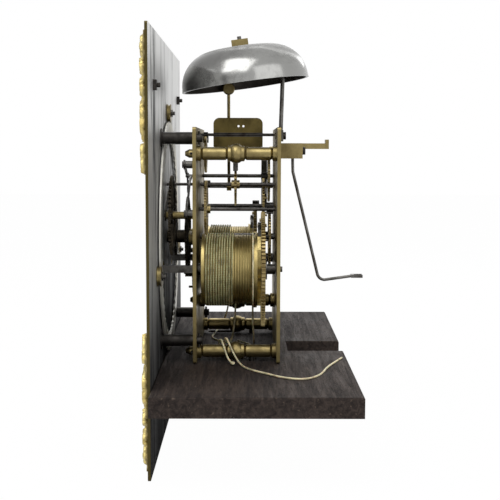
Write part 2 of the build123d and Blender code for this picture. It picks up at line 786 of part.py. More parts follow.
RING_BACK = RING_FRONT + RING_THICK
ROLLER_FRONT = RING_FRONT - AIR - ROLLER_FLANGE
ROLLER_BACK = RING_BACK + AIR + ROLLER_FLANGE
ROLLERS = [away(CENTRE, RING_AXIS_R, angle) for angle in ROLLER_ANGLES]
with BuildPart() as calendar_ring:
    inside = teeth_outline(CENTRE, RING_TEETH, (RING_INNER - RING_TOOTH, RING_INNER), (0.32, 0.2))
    disc(CENTRE, RING_OUTER, RING_FRONT, RING_BACK)
    plate_shape(inside, RING_FRONT, RING_BACK, mode=Mode.SUBTRACT)
save("calendar_ring", calendar_ring)

for name, place in zip(("top", "right", "left"), ROLLERS):
    with BuildPart() as roller:
        turned(
            place,
            ROLLER_FRONT,
            (ROLLER_R, RING_FRONT - AIR),
            (ROLLER_NECK_R, RING_BACK + AIR),
            (ROLLER_R, ROLLER_BACK),
        )
        disc(place, ROLLER_STUD_R + RUN, ROLLER_FRONT, ROLLER_BACK, mode=Mode.SUBTRACT)
    save(f"calendar_roller_{name}", roller)

DATE_FINGER_R = RING_INNER - RING_TOOTH - AIR - between(CENTRE, DATE_ARBOR)
date_phase = meshing_phase(CENTRE, DATE_ARBOR, DATE_PINION, DATE_TEETH)
with BuildPart() as date_wheel:
    arm(
        DATE_ARBOR,
        away(DATE_ARBOR, DATE_FINGER_R, DATE_FINGER_ANGLE),
        2 * DATE_PIPE_R,
        DATE_FINGER_WIDTH,
        RING_FRONT,
        RING_THICK,
    )
    disc(DATE_ARBOR, DATE_COLLAR_R, RING_FRONT, RING_BACK)
    wheel(DATE_ARBOR, DATE_TEETH, DATE_MODULE, DATE_Y, WHEEL_THICK, phase=date_phase, hub=7.0)
    disc(DATE_ARBOR, DATE_PIPE_R + FIT, RING_FRONT, 0, mode=Mode.SUBTRACT)
    turned(DATE_ARBOR, RING_FRONT, (DATE_PIPE_R, -AIR))
    disc(DATE_ARBOR, STUD_R + RUN, RING_FRONT, 0, mode=Mode.SUBTRACT)
save("date_wheel", date_wheel)

with BuildPart() as studs:
    for place in ROLLERS:
        turned(
            place,
            DIAL_BACK,
            (ROLLER_STUD_R, ROLLER_BACK + AIR),
            (2 * ROLLER_STUD_R, ROLLER_BACK + 4 * AIR),
            (ROLLER_STUD_R, ROLLER_BACK + 9 * AIR),
        )
    turned(DATE_ARBOR, RING_FRONT - STUD_HEAD, (STUD_R, PLATE_THICK))
    turned(REVERSE, HOUR_Y - 4 * AIR, (REVERSE_STUD_R, -AIR), (STUD_R, PLATE_THICK))
    for place, near, thick in (
        (RACK_PIVOT, RACK_Y, RACK_THICK),
        (HOOK_PIVOT, RACK_Y, RACK_THICK),
        (LIFTER_PIVOT, LIFTER_Y, LIFTER_THICK),
    ):
        turned(
            place,
            near - AIR - STUD_HEAD,
            (1.8 * STUD_R, near - AIR),
            (STUD_R, near + thick + AIR),
            (2 * STUD_R, 0),
            (STUD_R, PLATE_THICK),
        )
save("studs", studs)


# Barrels with their ratchets and winding arbors, and the great wheels that they turn


def barrel(place, end):
    """A grooved drum with a ratchet behind it, bored for its arbor."""
    count = int((end - BARREL_FLANGE - GROOVES_FROM) / GROOVE_PITCH)
    flange_back = BARREL_FRONT + BARREL_FLANGE
    points = [(0, BARREL_FRONT), (BARREL_FLANGE_R, BARREL_FRONT)]
    points += [(BARREL_FLANGE_R, flange_back), (BARREL_R, flange_back)]
    for n in range(count):
        y = GROOVES_FROM + n * GROOVE_PITCH
        points += [(BARREL_R, y), (BARREL_R - GROOVE_DEPTH, y + GROOVE_PITCH / 2)]
    points += [(BARREL_R, GROOVES_FROM + count * GROOVE_PITCH), (BARREL_R, end - BARREL_FLANGE)]
    points += [(BARREL_REAR_FLANGE_R, end - BARREL_FLANGE), (BARREL_REAR_FLANGE_R, end), (0, end)]
    with BuildSketch(Plane(origin=(place[0], 0, place[1]))) as drawn:
        with BuildLine():
            Polyline(*points, close=True)
        make_face()
    revolve(drawn.sketch, axis=Axis((place[0], 0, place[1]), (0, 1, 0)))
    teeth = []
    for n in range(RATCHET_TEETH):
        for radius in (RATCHET_R, RATCHET_R - RATCHET_TOOTH):
            teeth.append(away(place, radius, CLICK_AT - CLICK_LEAD + n * 360.0 / RATCHET_TEETH))
    plate_shape(teeth, end, end + RATCHET_THICK)
    disc(place, BARREL_BODY_R + FIT, BARREL_FRONT, end + RATCHET_THICK, mode=Mode.SUBTRACT)


def barrel_arbor(place, wheel_back):
    """The arbor: a winding square in front, a collar behind the great wheel."""
    turned(
        place,
        -SHOULDER,
        (BARREL_ARBOR_R, PLATE_FRONT_IN),
        (BARREL_BODY_R, wheel_back + AIR),
        (BARREL_COLLAR_R, wheel_back + AIR + BARREL_COLLAR),
        (BARREL_ARBOR_R, PLATE_BACK_IN),
        (BARREL_REAR_R, BACK_FACE + BARREL_REAR_OUT),
    )
    with BuildSketch(face_at(SQUARE_TIP)) as drawn:
        with Locations(place):
            Rectangle(SQUARE_SIDE, SQUARE_SIDE)
    slab(SQUARE_TIP, -SHOULDER, drawn)


def great_wheel(place, count, module, y, phase):
    """The great wheel, with the click's stud and spring on its front face."""
    wheel(place, count, module, y, GREAT_THICK, BARREL_BODY_R + RUN, phase, GREAT_HUB, 6.2)
    stud = away(place, CLICK_PIVOT_R, CLICK_AT)
    disc(stud, CLICK_STUD_R, y - CLICK_THICK - 2 * CLICK_AIR, y)
    foot = away(place, SPRING_FOOT_R, CLICK_AT + SPRING_FOOT_AT)
    disc(foot, 1.3, y - SPRING_THICK, y)
    tip = away(place, CLICK_PIVOT_R + 5.2, CLICK_AT - CLICK_LEAD / 2)
    arm(foot, tip, 1.3, 0.8, y - SPRING_THICK, SPRING_THICK - CLICK_AIR)


def click(place, y):
    """The pawl, with its beak against the face of a ratchet tooth."""
    tooth = CLICK_AT - CLICK_LEAD
    stud = away(place, CLICK_PIVOT_R, CLICK_AT)
    root = RATCHET_R - RATCHET_TOOTH
    near = y - CLICK_AIR - CLICK_THICK
    outline = (
        away(place, root + 1.5 * CLICK_AIR, tooth + CLICK_FACE_AT),
        away(place, RATCHET_R, tooth + CLICK_FACE_AT),
        away(place, CLICK_PIVOT_R - 1.0, tooth + 5.0),
        away(place, CLICK_PIVOT_R + CLICK_BACK_R, CLICK_AT),
        away(place, CLICK_PIVOT_R - CLICK_BACK_R, CLICK_AT),
        away(place, RATCHET_R + 2 * CLICK_AIR, tooth + 10.0),
    )
    plate_shape(outline, near, near + CLICK_THICK)
    disc(stud, CLICK_BACK_R + CLICK_AIR, near, near + CLICK_THICK)
    disc(stud, CLICK_STUD_R + RUN, near, near + CLICK_THICK, mode=Mode.SUBTRACT)


def winding(place, turns):
    """A line wound round a barrel: each turn is four quarters, and each quarter two arcs."""
    radius = BARREL_R + LINE_R + FIT
    rise = GROOVE_PITCH / 4
    slope = math.atan(GROOVE_PITCH / (2 * math.pi * radius))

    def at(n):
        a = math.pi + n * math.pi / 2
        point = Vector(
            place[0] + radius * math.cos(a), WINDING_FRONT + n * rise, place[1] + radius * math.sin(a)
        )
        along = Vector(-math.sin(a) * math.cos(slope), math.sin(slope), math.cos(a) * math.cos(slope))
        return point, along

    with BuildLine() as path:
        for n in range(4 * turns):
            p, t = at(n)
            q, u = at(n + 1)
            chord = q - p
            both = t + u
            a = chord.dot(both)
            b = 4 - both.dot(both)
            reach = (math.sqrt(a * a + b * chord.dot(chord)) - a) / b
            join = (p + q + (t - u) * reach) * 0.5
            lean = (q - u * reach) - (p + t * reach)
            TangentArc(p, join, tangent=t)
            TangentArc(join, q, tangent=lean)
    with BuildSketch(Plane(at(0)[0], z_dir=at(0)[1])) as drawn:
        Circle(LINE_R)
    sweep(drawn.sketch, path=path.wire())
    return path.wire()


great_phase = meshing_phase(CENTRE, GOING_BARREL, CENTRE_PINION, GREAT_TEETH)
strike_great_phase = meshing_phase(PIN_ARBOR, STRIKE_BARREL, PIN_PINION, STRIKE_GREAT_TEETH)
GOING_SIDE = (GOING_BARREL, GREAT_TEETH, GREAT_MODULE, GOING_GREAT_Y, great_phase, GOING_TURNS)
STRIKE_SIDE = (
    STRIKE_BARREL, STRIKE_GREAT_TEETH, STRIKE_GREAT_MODULE, STRIKE_GREAT_Y, strike_great_phase, STRIKE_TURNS,
)

for side, (place, count, module, y, phase, turns) in (("going", GOING_SIDE), ("strike", STRIKE_SIDE)):
    with BuildPart() as great:
        great_wheel(place, count, module, y, phase)
    save(f"{side}_great_wheel", great)
    with BuildPart() as pawl:
        click(place, y)
    save(f"{side}_click", pawl)
    with BuildPart() as drum:
        barrel(place, y - RATCHET_THICK - CLICK_AIR)
    save(f"{side}_barrel", drum)
    with BuildPart() as arbor:
        barrel_arbor(place, y + GREAT_THICK)
    save(f"{side}_barrel_arbor", arbor)
    with BuildPart() as wound:
        path = winding(place, turns)
    save(f"{side}_line_winding", wound)
    ideal = math.pi * LINE_R**2 * path.length
    print(side, "winding", turns, "turns, length", round(path.length, 1), "mm")
    print(side, "winding volume ratio", round(wound.part.volume / ideal, 4))
    points = [path @ (n / (64 * turns)) for n in range(64 * turns + 1)]
    apart = min((points[n] - points[n + 64]).length for n in range(len(points) - 64))
    print(side, "winding's least gap to itself", round(apart - 2 * LINE_R, 2), "mm")


# Going train

with BuildPart() as centre_arbor:
    turned(
        CENTRE,
        HAND_ARBOR_TIP,
        (HAND_ARBOR_R, -AIR),
        (CENTRE_FRONT_R, PLATE_FRONT_IN),
        (CENTRE_R, PLATE_BACK_IN),
        (CENTRE_REAR_R, BACK_FACE - PIVOT_START),
    )
    pinion(CENTRE, CENTRE_PINION, GREAT_MODULE, CENTRE_PINION_Y, CENTRE_WHEEL_Y - AIR)
    collet_back = CANNON_TIP - AIR
    disc(CENTRE, HAND_COLLET_R, collet_back - HAND_COLLET, collet_back)
save("centre_arbor", centre_arbor)

with BuildPart() as centre_wheel:
    wheel(CENTRE, CENTRE_TEETH, CENTRE_MODULE, CENTRE_WHEEL_Y, WHEEL_THICK, CENTRE_R + FIT)
save("centre_wheel", centre_wheel)

third_phase = meshing_phase(CENTRE, THIRD, CENTRE_TEETH, THIRD_PINION)
with BuildPart() as third_wheel:
    far = THIRD_WHEEL_Y + WHEEL_THICK
    wheel(THIRD, THIRD_TEETH, THIRD_MODULE, THIRD_WHEEL_Y, WHEEL_THICK)
    collet(THIRD, far)
    disc(THIRD, ARBOR_R + FIT, THIRD_WHEEL_Y, far + COLLET, mode=Mode.SUBTRACT)
    pivoted(THIRD, (ARBOR_R, PLATE_BACK_IN))
    near = CENTRE_WHEEL_Y - PINION_OVER
    pinion(THIRD, THIRD_PINION, CENTRE_MODULE, near, near + WHEEL_THICK + 2 * PINION_OVER, third_phase)
save("third_wheel", third_wheel)

# At rest the anchor's nibs are each a quarter of a pitch from a tooth of the wheel.
escape_phase = meshing_phase(THIRD, ESCAPE, THIRD_TEETH, ESCAPE_PINION)
escape_pitch = 360.0 / ESCAPE_TEETH
first_tooth = 90.0 - HALF_SPAN + escape_pitch / 4
with BuildPart() as escape_wheel:
    root_r = ESCAPE_R - ESCAPE_TOOTH
    far = ESCAPE_WHEEL_Y + ESCAPE_THICK
    rim = []
    for n in range(ESCAPE_TEETH):
        for radius, share in ((ESCAPE_R, -0.04), (ESCAPE_R, 0.04), (root_r, 0.3), (root_r, 0.82)):
            rim.append(away(ESCAPE, radius, first_tooth + (n + share) * escape_pitch))
    plate_shape(rim, ESCAPE_WHEEL_Y, far)
    crossings(ESCAPE, 4, COLLET_R + 1.2, root_r - ESCAPE_RIM, 2.0, ESCAPE_WHEEL_Y, far)
    collet(ESCAPE, ESCAPE_WHEEL_Y - COLLET)
    collet(ESCAPE, far)
    disc(ESCAPE, ARBOR_R + FIT, ESCAPE_WHEEL_Y - COLLET, far + COLLET, mode=Mode.SUBTRACT)
    turned(
        ESCAPE,
        SECONDS_TIP,
        (THROUGH_R, PLATE_FRONT_IN),
        (ARBOR_R, PLATE_BACK_IN),
        (PIVOT_R, BACK_FACE - PIVOT_START),
    )
    far = THIRD_WHEEL_Y + WHEEL_THICK + PINION_OVER
    pinion(ESCAPE, ESCAPE_PINION, THIRD_MODULE, THIRD_WHEEL_Y - PINION_OVER, far, escape_phase)
save("escape_wheel", escape_wheel)

with BuildPart() as seconds_hand:
    x, z = ESCAPE
    disc(ESCAPE, SECONDS_PIPE_R + 0.8, SECONDS_HAND_Y, SECONDS_HAND_Y + SECONDS_HAND_THICK)
    plate_shape(
        ((x - 0.9, z), (x, z + SECONDS_HAND), (x + 0.9, z), (x + 1.5, z - 8.0), (x - 1.5, z - 8.0)),
        SECONDS_HAND_Y,
        SECONDS_HAND_Y + SECONDS_HAND_THICK,
    )
    disc(ESCAPE, SECONDS_PIPE_R, SECONDS_HAND_Y + SECONDS_HAND_THICK, DIAL_FRONT - AIR)
    disc(ESCAPE, THROUGH_R + FIT, SECONDS_HAND_Y, DIAL_FRONT, mode=Mode.SUBTRACT)
save("seconds_hand", seconds_hand)

COCK_PIVOT_Y = BACK_FACE + COCK_DEEP - COCK_THICK
anchor_near = ESCAPE_WHEEL_Y - (ANCHOR_THICK - ESCAPE_THICK) / 2
with BuildPart() as anchor:
    turned(
        PALLET,
        PIVOT_START,
        (PIVOT_R, PLATE_FRONT_IN),
        (ARBOR_R, COCK_PIVOT_Y - SHAKE),
        (PIVOT_R, COCK_PIVOT_Y + COCK_THICK - PIVOT_START),
    )
    reach = ESCAPE_R + NIB_GAP
    px, pz = PALLET
    for side in (-1, 1):
        plate_shape(
            (
                away(ESCAPE, reach, 90.0 - side * (HALF_SPAN - NIB_HALF)),
                away(ESCAPE, reach, 90.0 - side * (HALF_SPAN + NIB_HALF)),
                (px + side * 16.5, pz - 9.0),
                (px + side * 10.0, pz - 1.0),
                (px + side * 3.0, pz + 3.2),
                (px - side * 0.5, pz + 3.2),
                (px - side * 0.5, pz - 2.8),
                (px + side * 4.0, pz - 3.0),
                (px + side * 11.0, pz - 9.0),
            ),
            anchor_near,
            anchor_near + ANCHOR_THICK,
        )
save("anchor", anchor)

with BuildPart() as crutch:
    disc(PALLET, CRUTCH_COLLET_R, CRUTCH_Y - CRUTCH_COLLET / 2, CRUTCH_Y + CRUTCH_COLLET / 2)
    x = PALLET[0]
    round_rod(
        CRUTCH_R,
        (x, CRUTCH_Y, PALLET[1] - CRUTCH_COLLET_R + CRUTCH_R / 2),
        (x, CRUTCH_KNEE[0], TOP + CRUTCH_KNEE[1]),
        (x, CRUTCH_HEEL[0], TOP + CRUTCH_HEEL[1]),
        (x, CRUTCH_TIP[0], TOP + CRUTCH_TIP[1]),
        bends=6.0,
    )
    disc(PALLET, ARBOR_R + FIT, CRUTCH_Y - CRUTCH_COLLET, CRUTCH_Y + CRUTCH_COLLET, mode=Mode.SUBTRACT)
    bar_y = CRUTCH_TIP[0]
    with BuildSketch(Plane.XY.offset(TOP + CRUTCH_TIP[1] - CRUTCH_R)):
        with Locations((x, bar_y)):
            Rectangle(FORK_GAP + 2 * FORK_BAR, 2 * FORK_BAR)
            for side in (-1, 1):
                with Locations((side * (FORK_GAP + FORK_BAR) / 2, FORK_LONG / 2)):
                    Rectangle(FORK_BAR, FORK_LONG)
    extrude(amount=2 * CRUTCH_R)
save("crutch", crutch)


# Motion work and hands

with BuildPart() as hour_bridge:
    with BuildSketch(face_at(BRIDGE_Y)):
        with Locations(CENTRE):
            SlotOverall(2 * BRIDGE_FOOT_X + 2 * BRIDGE_FOOT_R, 2 * BRIDGE_FOOT_R)
    slab(BRIDGE_Y, BRIDGE_Y + BRIDGE_THICK)
    for place in BRIDGE_SCREWS:
        disc(place, BRIDGE_FOOT_R, BRIDGE_Y + BRIDGE_THICK, 0)
        disc(place, SCREW_R + FIT, BRIDGE_Y, 0, mode=Mode.SUBTRACT)
    disc(CENTRE, BRIDGE_HIGH / 2, BRIDGE_Y, BRIDGE_Y + BRIDGE_THICK)
    disc(CENTRE, BRIDGE_PIPE_R, BRIDGE_PIPE_TIP, BRIDGE_Y)
    disc(CENTRE, CANNON_PIPE_R + AIR, BRIDGE_PIPE_TIP, 0, mode=Mode.SUBTRACT)
save("hour_bridge", hour_bridge)

with BuildPart() as cannon_wheel:
    wheel(CENTRE, MOTION_TEETH, MOTION_MODULE, CANNON_Y, WHEEL_THICK, hub=6.0)
    disc(CENTRE, CANNON_PIPE_R, CANNON_TIP, CANNON_Y)
    disc(CENTRE, HAND_ARBOR_R + RUN, CANNON_TIP, 0, mode=Mode.SUBTRACT)
save("cannon_wheel", cannon_wheel)

reverse_phase = meshing_phase(CENTRE, REVERSE, MOTION_TEETH, MOTION_TEETH)
hour_phase = meshing_phase(REVERSE, CENTRE, HOUR_PINION, HOUR_TEETH)
with BuildPart() as reverse_wheel:
    wheel(REVERSE, MOTION_TEETH, MOTION_MODULE, CANNON_Y, WHEEL_THICK, phase=reverse_phase, hub=4.4)
    pinion(REVERSE, HOUR_PINION, HOUR_MODULE, HOUR_Y - AIR, CANNON_Y)
    lift_pin = away(REVERSE, LIFT_PIN_AT, LIFT_PIN_ANGLE)
    disc(lift_pin, 1.8, CANNON_Y, CANNON_Y + WHEEL_THICK)
    disc(lift_pin, PIN_R, LIFTER_Y, CANNON_Y)
    disc(REVERSE, REVERSE_STUD_R + RUN, HOUR_Y - AIR, 0, mode=Mode.SUBTRACT)
save("reverse_wheel", reverse_wheel)

with BuildPart() as hour_wheel:
    wheel(CENTRE, HOUR_TEETH, HOUR_MODULE, HOUR_Y, HOUR_THICK, HOUR_PIPE_R + FIT, hour_phase, hub=9.0)
save("hour_wheel", hour_wheel)

with BuildPart() as hour_pipe:
    snail = []
    for step in range(12):
        radius = SNAIL_LOW + (SNAIL_HIGH - SNAIL_LOW) * step / 11
        for share in range(6):
            snail.append(away(CENTRE, radius, SNAIL_FROM + 30.0 * (step + share / 5)))
    plate_shape(snail, RACK_Y, HOUR_Y - AIR)
    disc(CENTRE, HOUR_PIPE_R, HOUR_HAND_Y + HAND_THICK, HOUR_Y + HOUR_THICK)
    disc(CENTRE, HOUR_NECK_R, HOUR_TIP, HOUR_HAND_Y + HAND_THICK)
    plate_shape(wheel_outline(CENTRE, DATE_PINION, DATE_MODULE), DATE_Y, DATE_Y + WHEEL_THICK)
    disc(CENTRE, BRIDGE_PIPE_R + RUN, BRIDGE_PIPE_TIP - AIR, HOUR_Y + HOUR_THICK, mode=Mode.SUBTRACT)
    disc(CENTRE, CANNON_PIPE_R + AIR, HOUR_TIP, BRIDGE_PIPE_TIP, mode=Mode.SUBTRACT)
save("hour_pipe", hour_pipe)


def hand(length, width, tail, y, hub, bore):
    """A hand pointing to twelve, with a pierced leaf near its tip."""
    x, z = CENTRE
    leaf = z + 0.7 * length
    disc(CENTRE, hub, y, y + HAND_THICK)
    plate_shape(
        (
            (x - 1.2, z),
            (x - 1.0, leaf - 2 * width),
            (x - width, leaf),
            (x, z + length),
            (x + width, leaf),
            (x + 1.0, leaf - 2 * width),
            (x + 1.2, z),
            (x + 1.6, z - tail),
            (x - 1.6, z - tail),
        ),
        y,
        y + HAND_THICK,
    )
    disc((x, leaf), 0.45 * width, y, y + HAND_THICK, mode=Mode.SUBTRACT)
    disc(CENTRE, bore, y, y + HAND_THICK, mode=Mode.SUBTRACT)


with BuildPart() as hour_hand:
    hand(HOUR_HAND, 6.0, 12.0, HOUR_HAND_Y, HOUR_PIPE_R + 2.4, HOUR_NECK_R + FIT)
save("hour_hand", hour_hand)

with BuildPart() as minute_hand:
    hand(MINUTE_HAND, 4.0, 18.0, MINUTE_HAND_Y, CANNON_PIPE_R + 2.4, CANNON_PIPE_R + FIT)
save("minute_hand", minute_hand)


# Striking train

with BuildPart() as pin_wheel:
    wheel(PIN_ARBOR, PIN_TEETH, PIN_MODULE, PIN_WHEEL_Y, WHEEL_THICK, ARBOR_R + FIT, rim_depth=PIN_RIM)
    for n in range(LIFT_PINS):
        spot = away(PIN_ARBOR, PIN_CIRCLE_R, (n + 0.5) * 360.0 / LIFT_PINS)
        disc(spot, PIN_R, PIN_WHEEL_Y, CENTRE_WHEEL_Y - 2 * AIR)
    pivoted(PIN_ARBOR, (ARBOR_R, PLATE_BACK_IN))
    far = STRIKE_GREAT_Y + GREAT_THICK + PINION_OVER
    pinion(PIN_ARBOR, PIN_PINION, STRIKE_GREAT_MODULE, STRIKE_GREAT_Y - PINION_OVER / 2, far)
save("pin_wheel", pin_wheel)

gather_phase = meshing_phase(PIN_ARBOR, GATHER, PIN_TEETH, GATHER_PINION)
with BuildPart() as gathering_arbor:
    turned(
        GATHER,
        RACK_Y,
        (THROUGH_R, PLATE_FRONT_IN),
        (ARBOR_R, PLATE_BACK_IN),
        (PIVOT_R, BACK_FACE - PIVOT_START),
    )
    near = PIN_WHEEL_Y - PINION_OVER / 2
    pinion(GATHER, GATHER_PINION, PIN_MODULE, near, CENTRE_WHEEL_Y - AIR, gather_phase)
    x, z = GATHER
    plate_shape(
        ((x + GATHER_REACH, z), (x, z + 2.4), (x - 2.4, z), (x, z - 2.4)), RACK_Y, RACK_Y + RACK_THICK
    )
save("gathering_arbor", gathering_arbor)

with BuildPart() as gathering_wheel:
    wheel(GATHER, GATHER_TEETH, GATHER_MODULE, CENTRE_WHEEL_Y, WHEEL_THICK, ARBOR_R + FIT)
save("gathering_wheel", gathering_wheel)

warn_phase = meshing_phase(GATHER, WARN, GATHER_TEETH, WARN_PINION)
with BuildPart() as warning_arbor:
    pivoted(WARN, (ARBOR_R, PLATE_BACK_IN))
    near = CENTRE_WHEEL_Y - PINION_OVER / 2
    pinion(WARN, WARN_PINION, GATHER_MODULE, near, near + WHEEL_THICK + PINION_OVER, warn_phase)
save("warning_arbor", warning_arbor)

with BuildPart() as warning_wheel:
    wheel(WARN, WARN_TEETH, WARN_MODULE, WARN_WHEEL_Y, WHEEL_THICK)
    collet(WARN, WARN_WHEEL_Y + WHEEL_THICK)
    disc(WARN, ARBOR_R + FIT, WARN_WHEEL_Y, WARN_WHEEL_Y + WHEEL_THICK + COLLET, mode=Mode.SUBTRACT)
save("warning_wheel", warning_wheel)

fly_phase = meshing_phase(WARN, FLY, WARN_TEETH, FLY_PINION)
with BuildPart() as fly:
    with BuildSketch(Plane.YZ.offset(FLY[0] - FLY_THICK / 2)):
        with Locations(((FLY_FRONT + FLY_BACK) / 2, FLY[1])):
            RectangleRounded(FLY_BACK - FLY_FRONT, 2 * FLY_R, FLY_CORNER)
        for y in FLY_HOLES:
            with Locations((y, FLY[1] + FLY_HOLE_RISE)):
                Circle(PIN_R, mode=Mode.SUBTRACT)
    extrude(amount=FLY_THICK)
    pivoted(FLY, (PIVOT_R + 0.3, PLATE_BACK_IN))
    far = WARN_WHEEL_Y + WHEEL_THICK + PINION_OVER / 2
    pinion(FLY, FLY_PINION, WARN_MODULE, WARN_WHEEL_Y - PINION_OVER / 2, far, fly_phase)
save("fly", fly)


# Hammer

tail_near = PIN_WHEEL_Y + WHEEL_THICK + AIR
with BuildPart() as hammer_arbor:
    pivoted(HAMMER, (ARBOR_R, PLATE_BACK_IN))
    to_pins = math.degrees(math.atan2(PIN_ARBOR[1] - HAMMER[1], PIN_ARBOR[0] - HAMMER[0]))
    tail_long = between(HAMMER, PIN_ARBOR) - PIN_CIRCLE_R - PIN_R - AIR
    tail = away(HAMMER, tail_long, to_pins)
    arm(away(HAMMER, -2.4, to_pins), tail, 4.4, 1.6, tail_near, CENTRE_WHEEL_Y - 2 * AIR - tail_near)
save("hammer_arbor", hammer_arbor)

with BuildPart() as hammer:
    disc(HAMMER, HAMMER_COLLET_R, HAMMER_Y - 2.0, HAMMER_Y + 2.0)
    bend = high(HAMMER_BEND)
    upper = high(HAMMER_UPPER)
    head = high(HAMMER_HEAD)
    lean = math.degrees(math.atan2(bend[1] - HAMMER[1], bend[0] - HAMMER[0]))
    root = away(HAMMER, HAMMER_COLLET_R - 1.0, lean)
    round_rod(
        HAMMER_STEM_R,
        (root[0], HAMMER_Y, root[1]),
        (bend[0], HAMMER_Y, bend[1]),
        (upper[0], HAMMER_Y, upper[1]),
        (head[0], HAMMER_Y, head[1]),
        bends=12.0,
    )
    with BuildSketch(Plane.YZ.offset(head[0] - HAMMER_HEAD_LONG / 2)):
        with Locations((HAMMER_Y, head[1])):
            Circle(HAMMER_HEAD_R)
    extrude(amount=HAMMER_HEAD_LONG)
    chamfer(hammer.edges().filter_by(GeomType.CIRCLE).group_by(Axis.X)[-1], HAMMER_CHAMFER)
    disc(HAMMER, ARBOR_R + FIT, HAMMER_Y - 2.0, HAMMER_Y + 2.0, mode=Mode.SUBTRACT)
save("hammer", hammer)


# Rack, rack hook and lifting piece, on the front plate

RACK_TIP_R = between(RACK_PIVOT, GATHER) - GATHER_REACH - AIR
rack_line = math.degrees(math.atan2(GATHER[1] - RACK_PIVOT[1], GATHER[0] - RACK_PIVOT[0]))
with BuildPart() as rack:
    sector = []
    for n in range(7):
        turn = RACK_BEFORE - n * (RACK_BEFORE + RACK_SPAN) / 6
        sector.append(away(RACK_PIVOT, RACK_TIP_R - RACK_WIDE, rack_line + turn))
    step = (RACK_BEFORE + RACK_SPAN) / RACK_TEETH
    for n in range(RACK_TEETH):
        turn = rack_line - RACK_SPAN + n * step
        sector.append(away(RACK_PIVOT, RACK_TIP_R, turn))
        sector.append(away(RACK_PIVOT, RACK_TIP_R - RACK_TOOTH, turn + 0.2 * step))
    plate_shape(sector, RACK_Y, RACK_Y + RACK_THICK)
    joint = away(RACK_PIVOT, RACK_TIP_R - RACK_WIDE + 1.0, rack_line - RACK_SPAN / 2)
    arm(RACK_PIVOT, joint, 5.0, 3.6, RACK_Y, RACK_THICK)
    rack_tail = (CENTRE[0] + RACK_TAIL[0], CENTRE[1] + RACK_TAIL[1])
    arm(RACK_PIVOT, rack_tail, 4.4, 2.4, RACK_Y, RACK_THICK)
    disc(rack_tail, 1.5, RACK_Y, RACK_Y + RACK_THICK)
    disc(RACK_PIVOT, 4.2, RACK_Y, RACK_Y + RACK_THICK)
    disc(RACK_PIVOT, STUD_R + RUN, RACK_Y, RACK_Y + RACK_THICK, mode=Mode.SUBTRACT)
save("rack", rack)

with BuildPart() as rack_hook:
    beak = away(RACK_PIVOT, RACK_TIP_R + AIR, rack_line - HOOK_BACK)
    knee = (beak[0] + 3.4, beak[1] + 7.4)
    arm(HOOK_PIVOT, knee, 4.2, 3.6, RACK_Y, RACK_THICK)
    arm(knee, beak, 3.6, 0.8, RACK_Y, RACK_THICK)
    disc(knee, 1.8, RACK_Y, RACK_Y + RACK_THICK)
    disc(HOOK_PIVOT, 3.8, RACK_Y, RACK_Y + RACK_THICK)
    disc(HOOK_PIVOT, STUD_R + RUN, RACK_Y, RACK_Y + RACK_THICK, mode=Mode.SUBTRACT)
save("rack_hook", rack_hook)

with BuildPart() as lifting_piece:
    line = math.degrees(math.atan2(LIFTER_PIVOT[1] - REVERSE[1], LIFTER_PIVOT[0] - REVERSE[0]))
    foot = away(REVERSE, LIFT_PIN_AT + PIN_R + AIR + 1.0, line)
    elbow = high(LIFTER_ELBOW)
    nose = high(LIFTER_NOSE)
    arm(LIFTER_PIVOT, foot, 4.4, 2.0, LIFTER_Y, LIFTER_THICK)
    arm(LIFTER_PIVOT, elbow, 4.4, 3.4, LIFTER_Y, LIFTER_THICK)
    arm(elbow, nose, 3.4, 2.6, LIFTER_Y, LIFTER_THICK)
    disc(elbow, 1.7, LIFTER_Y, LIFTER_Y + LIFTER_THICK)
    disc(nose, 1.6, LIFTER_Y, LIFTER_Y + LIFTER_THICK)
    disc(nose, PIN_R, RACK_Y, LIFTER_Y)
    disc(LIFTER_PIVOT, 4.0, LIFTER_Y, LIFTER_Y + LIFTER_THICK)
    disc(LIFTER_PIVOT, STUD_R + RUN, LIFTER_Y, LIFTER_Y + LIFTER_THICK, mode=Mode.SUBTRACT)
save("lifting_piece", lifting_piece)


# Back cock, bell and its stand, springs and screws

with BuildPart() as back_cock:
    with BuildSketch(Plane.XY.offset(PALLET[1] - COCK_HIGH / 2)):
        with Locations((PALLET[0], BACK_FACE + COCK_DEEP / 2)):
            Rectangle(2 * COCK_FOOT_X + COCK_FOOT_WIDE, COCK_DEEP)
            with Locations((0, -COCK_THICK)):
                Rectangle(2 * COCK_FOOT_X - COCK_FOOT_WIDE, COCK_DEEP, mode=Mode.SUBTRACT)
    extrude(amount=COCK_HIGH)
    with BuildSketch(Plane.XY.offset(PALLET[1] + COCK_HIGH / 2 - COCK_ARM_THICK)):
        with Locations((PALLET[0], (BACK_FACE + COCK_DEEP - COCK_THICK / 2 + COCK_ARM_END) / 2)):
            Rectangle(COCK_ARM_WIDE, COCK_ARM_END - BACK_FACE - COCK_DEEP + COCK_THICK / 2)
    extrude(amount=COCK_ARM_THICK)
    with BuildSketch(Plane.XY.offset(PALLET[1] + COCK_HIGH / 2 - COCK_ARM_THICK)):
        with Locations((PALLET[0], COCK_ARM_END - COCK_LIP / 2)):
            Rectangle(COCK_ARM_WIDE, COCK_LIP)
    extrude(amount=COCK_ARM_THICK + COCK_LIP_HIGH)
    with BuildSketch(Plane.XY.offset(PALLET[1] - COCK_HIGH)):
        with Locations((PALLET[0], COCK_ARM_END)):
            Rectangle(SUSPENSION_SLOT, 2 * SUSPENSION_DEEP)
    extrude(amount=3 * COCK_HIGH, mode=Mode.SUBTRACT)
    disc(PALLET, PIVOT_R + RUN, COCK_PIVOT_Y, COCK_PIVOT_Y + COCK_THICK, mode=Mode.SUBTRACT)
    for place in COCK_SCREWS:
        disc(place, SCREW_R + FIT, BACK_FACE, BACK_FACE + COCK_DEEP, mode=Mode.SUBTRACT)
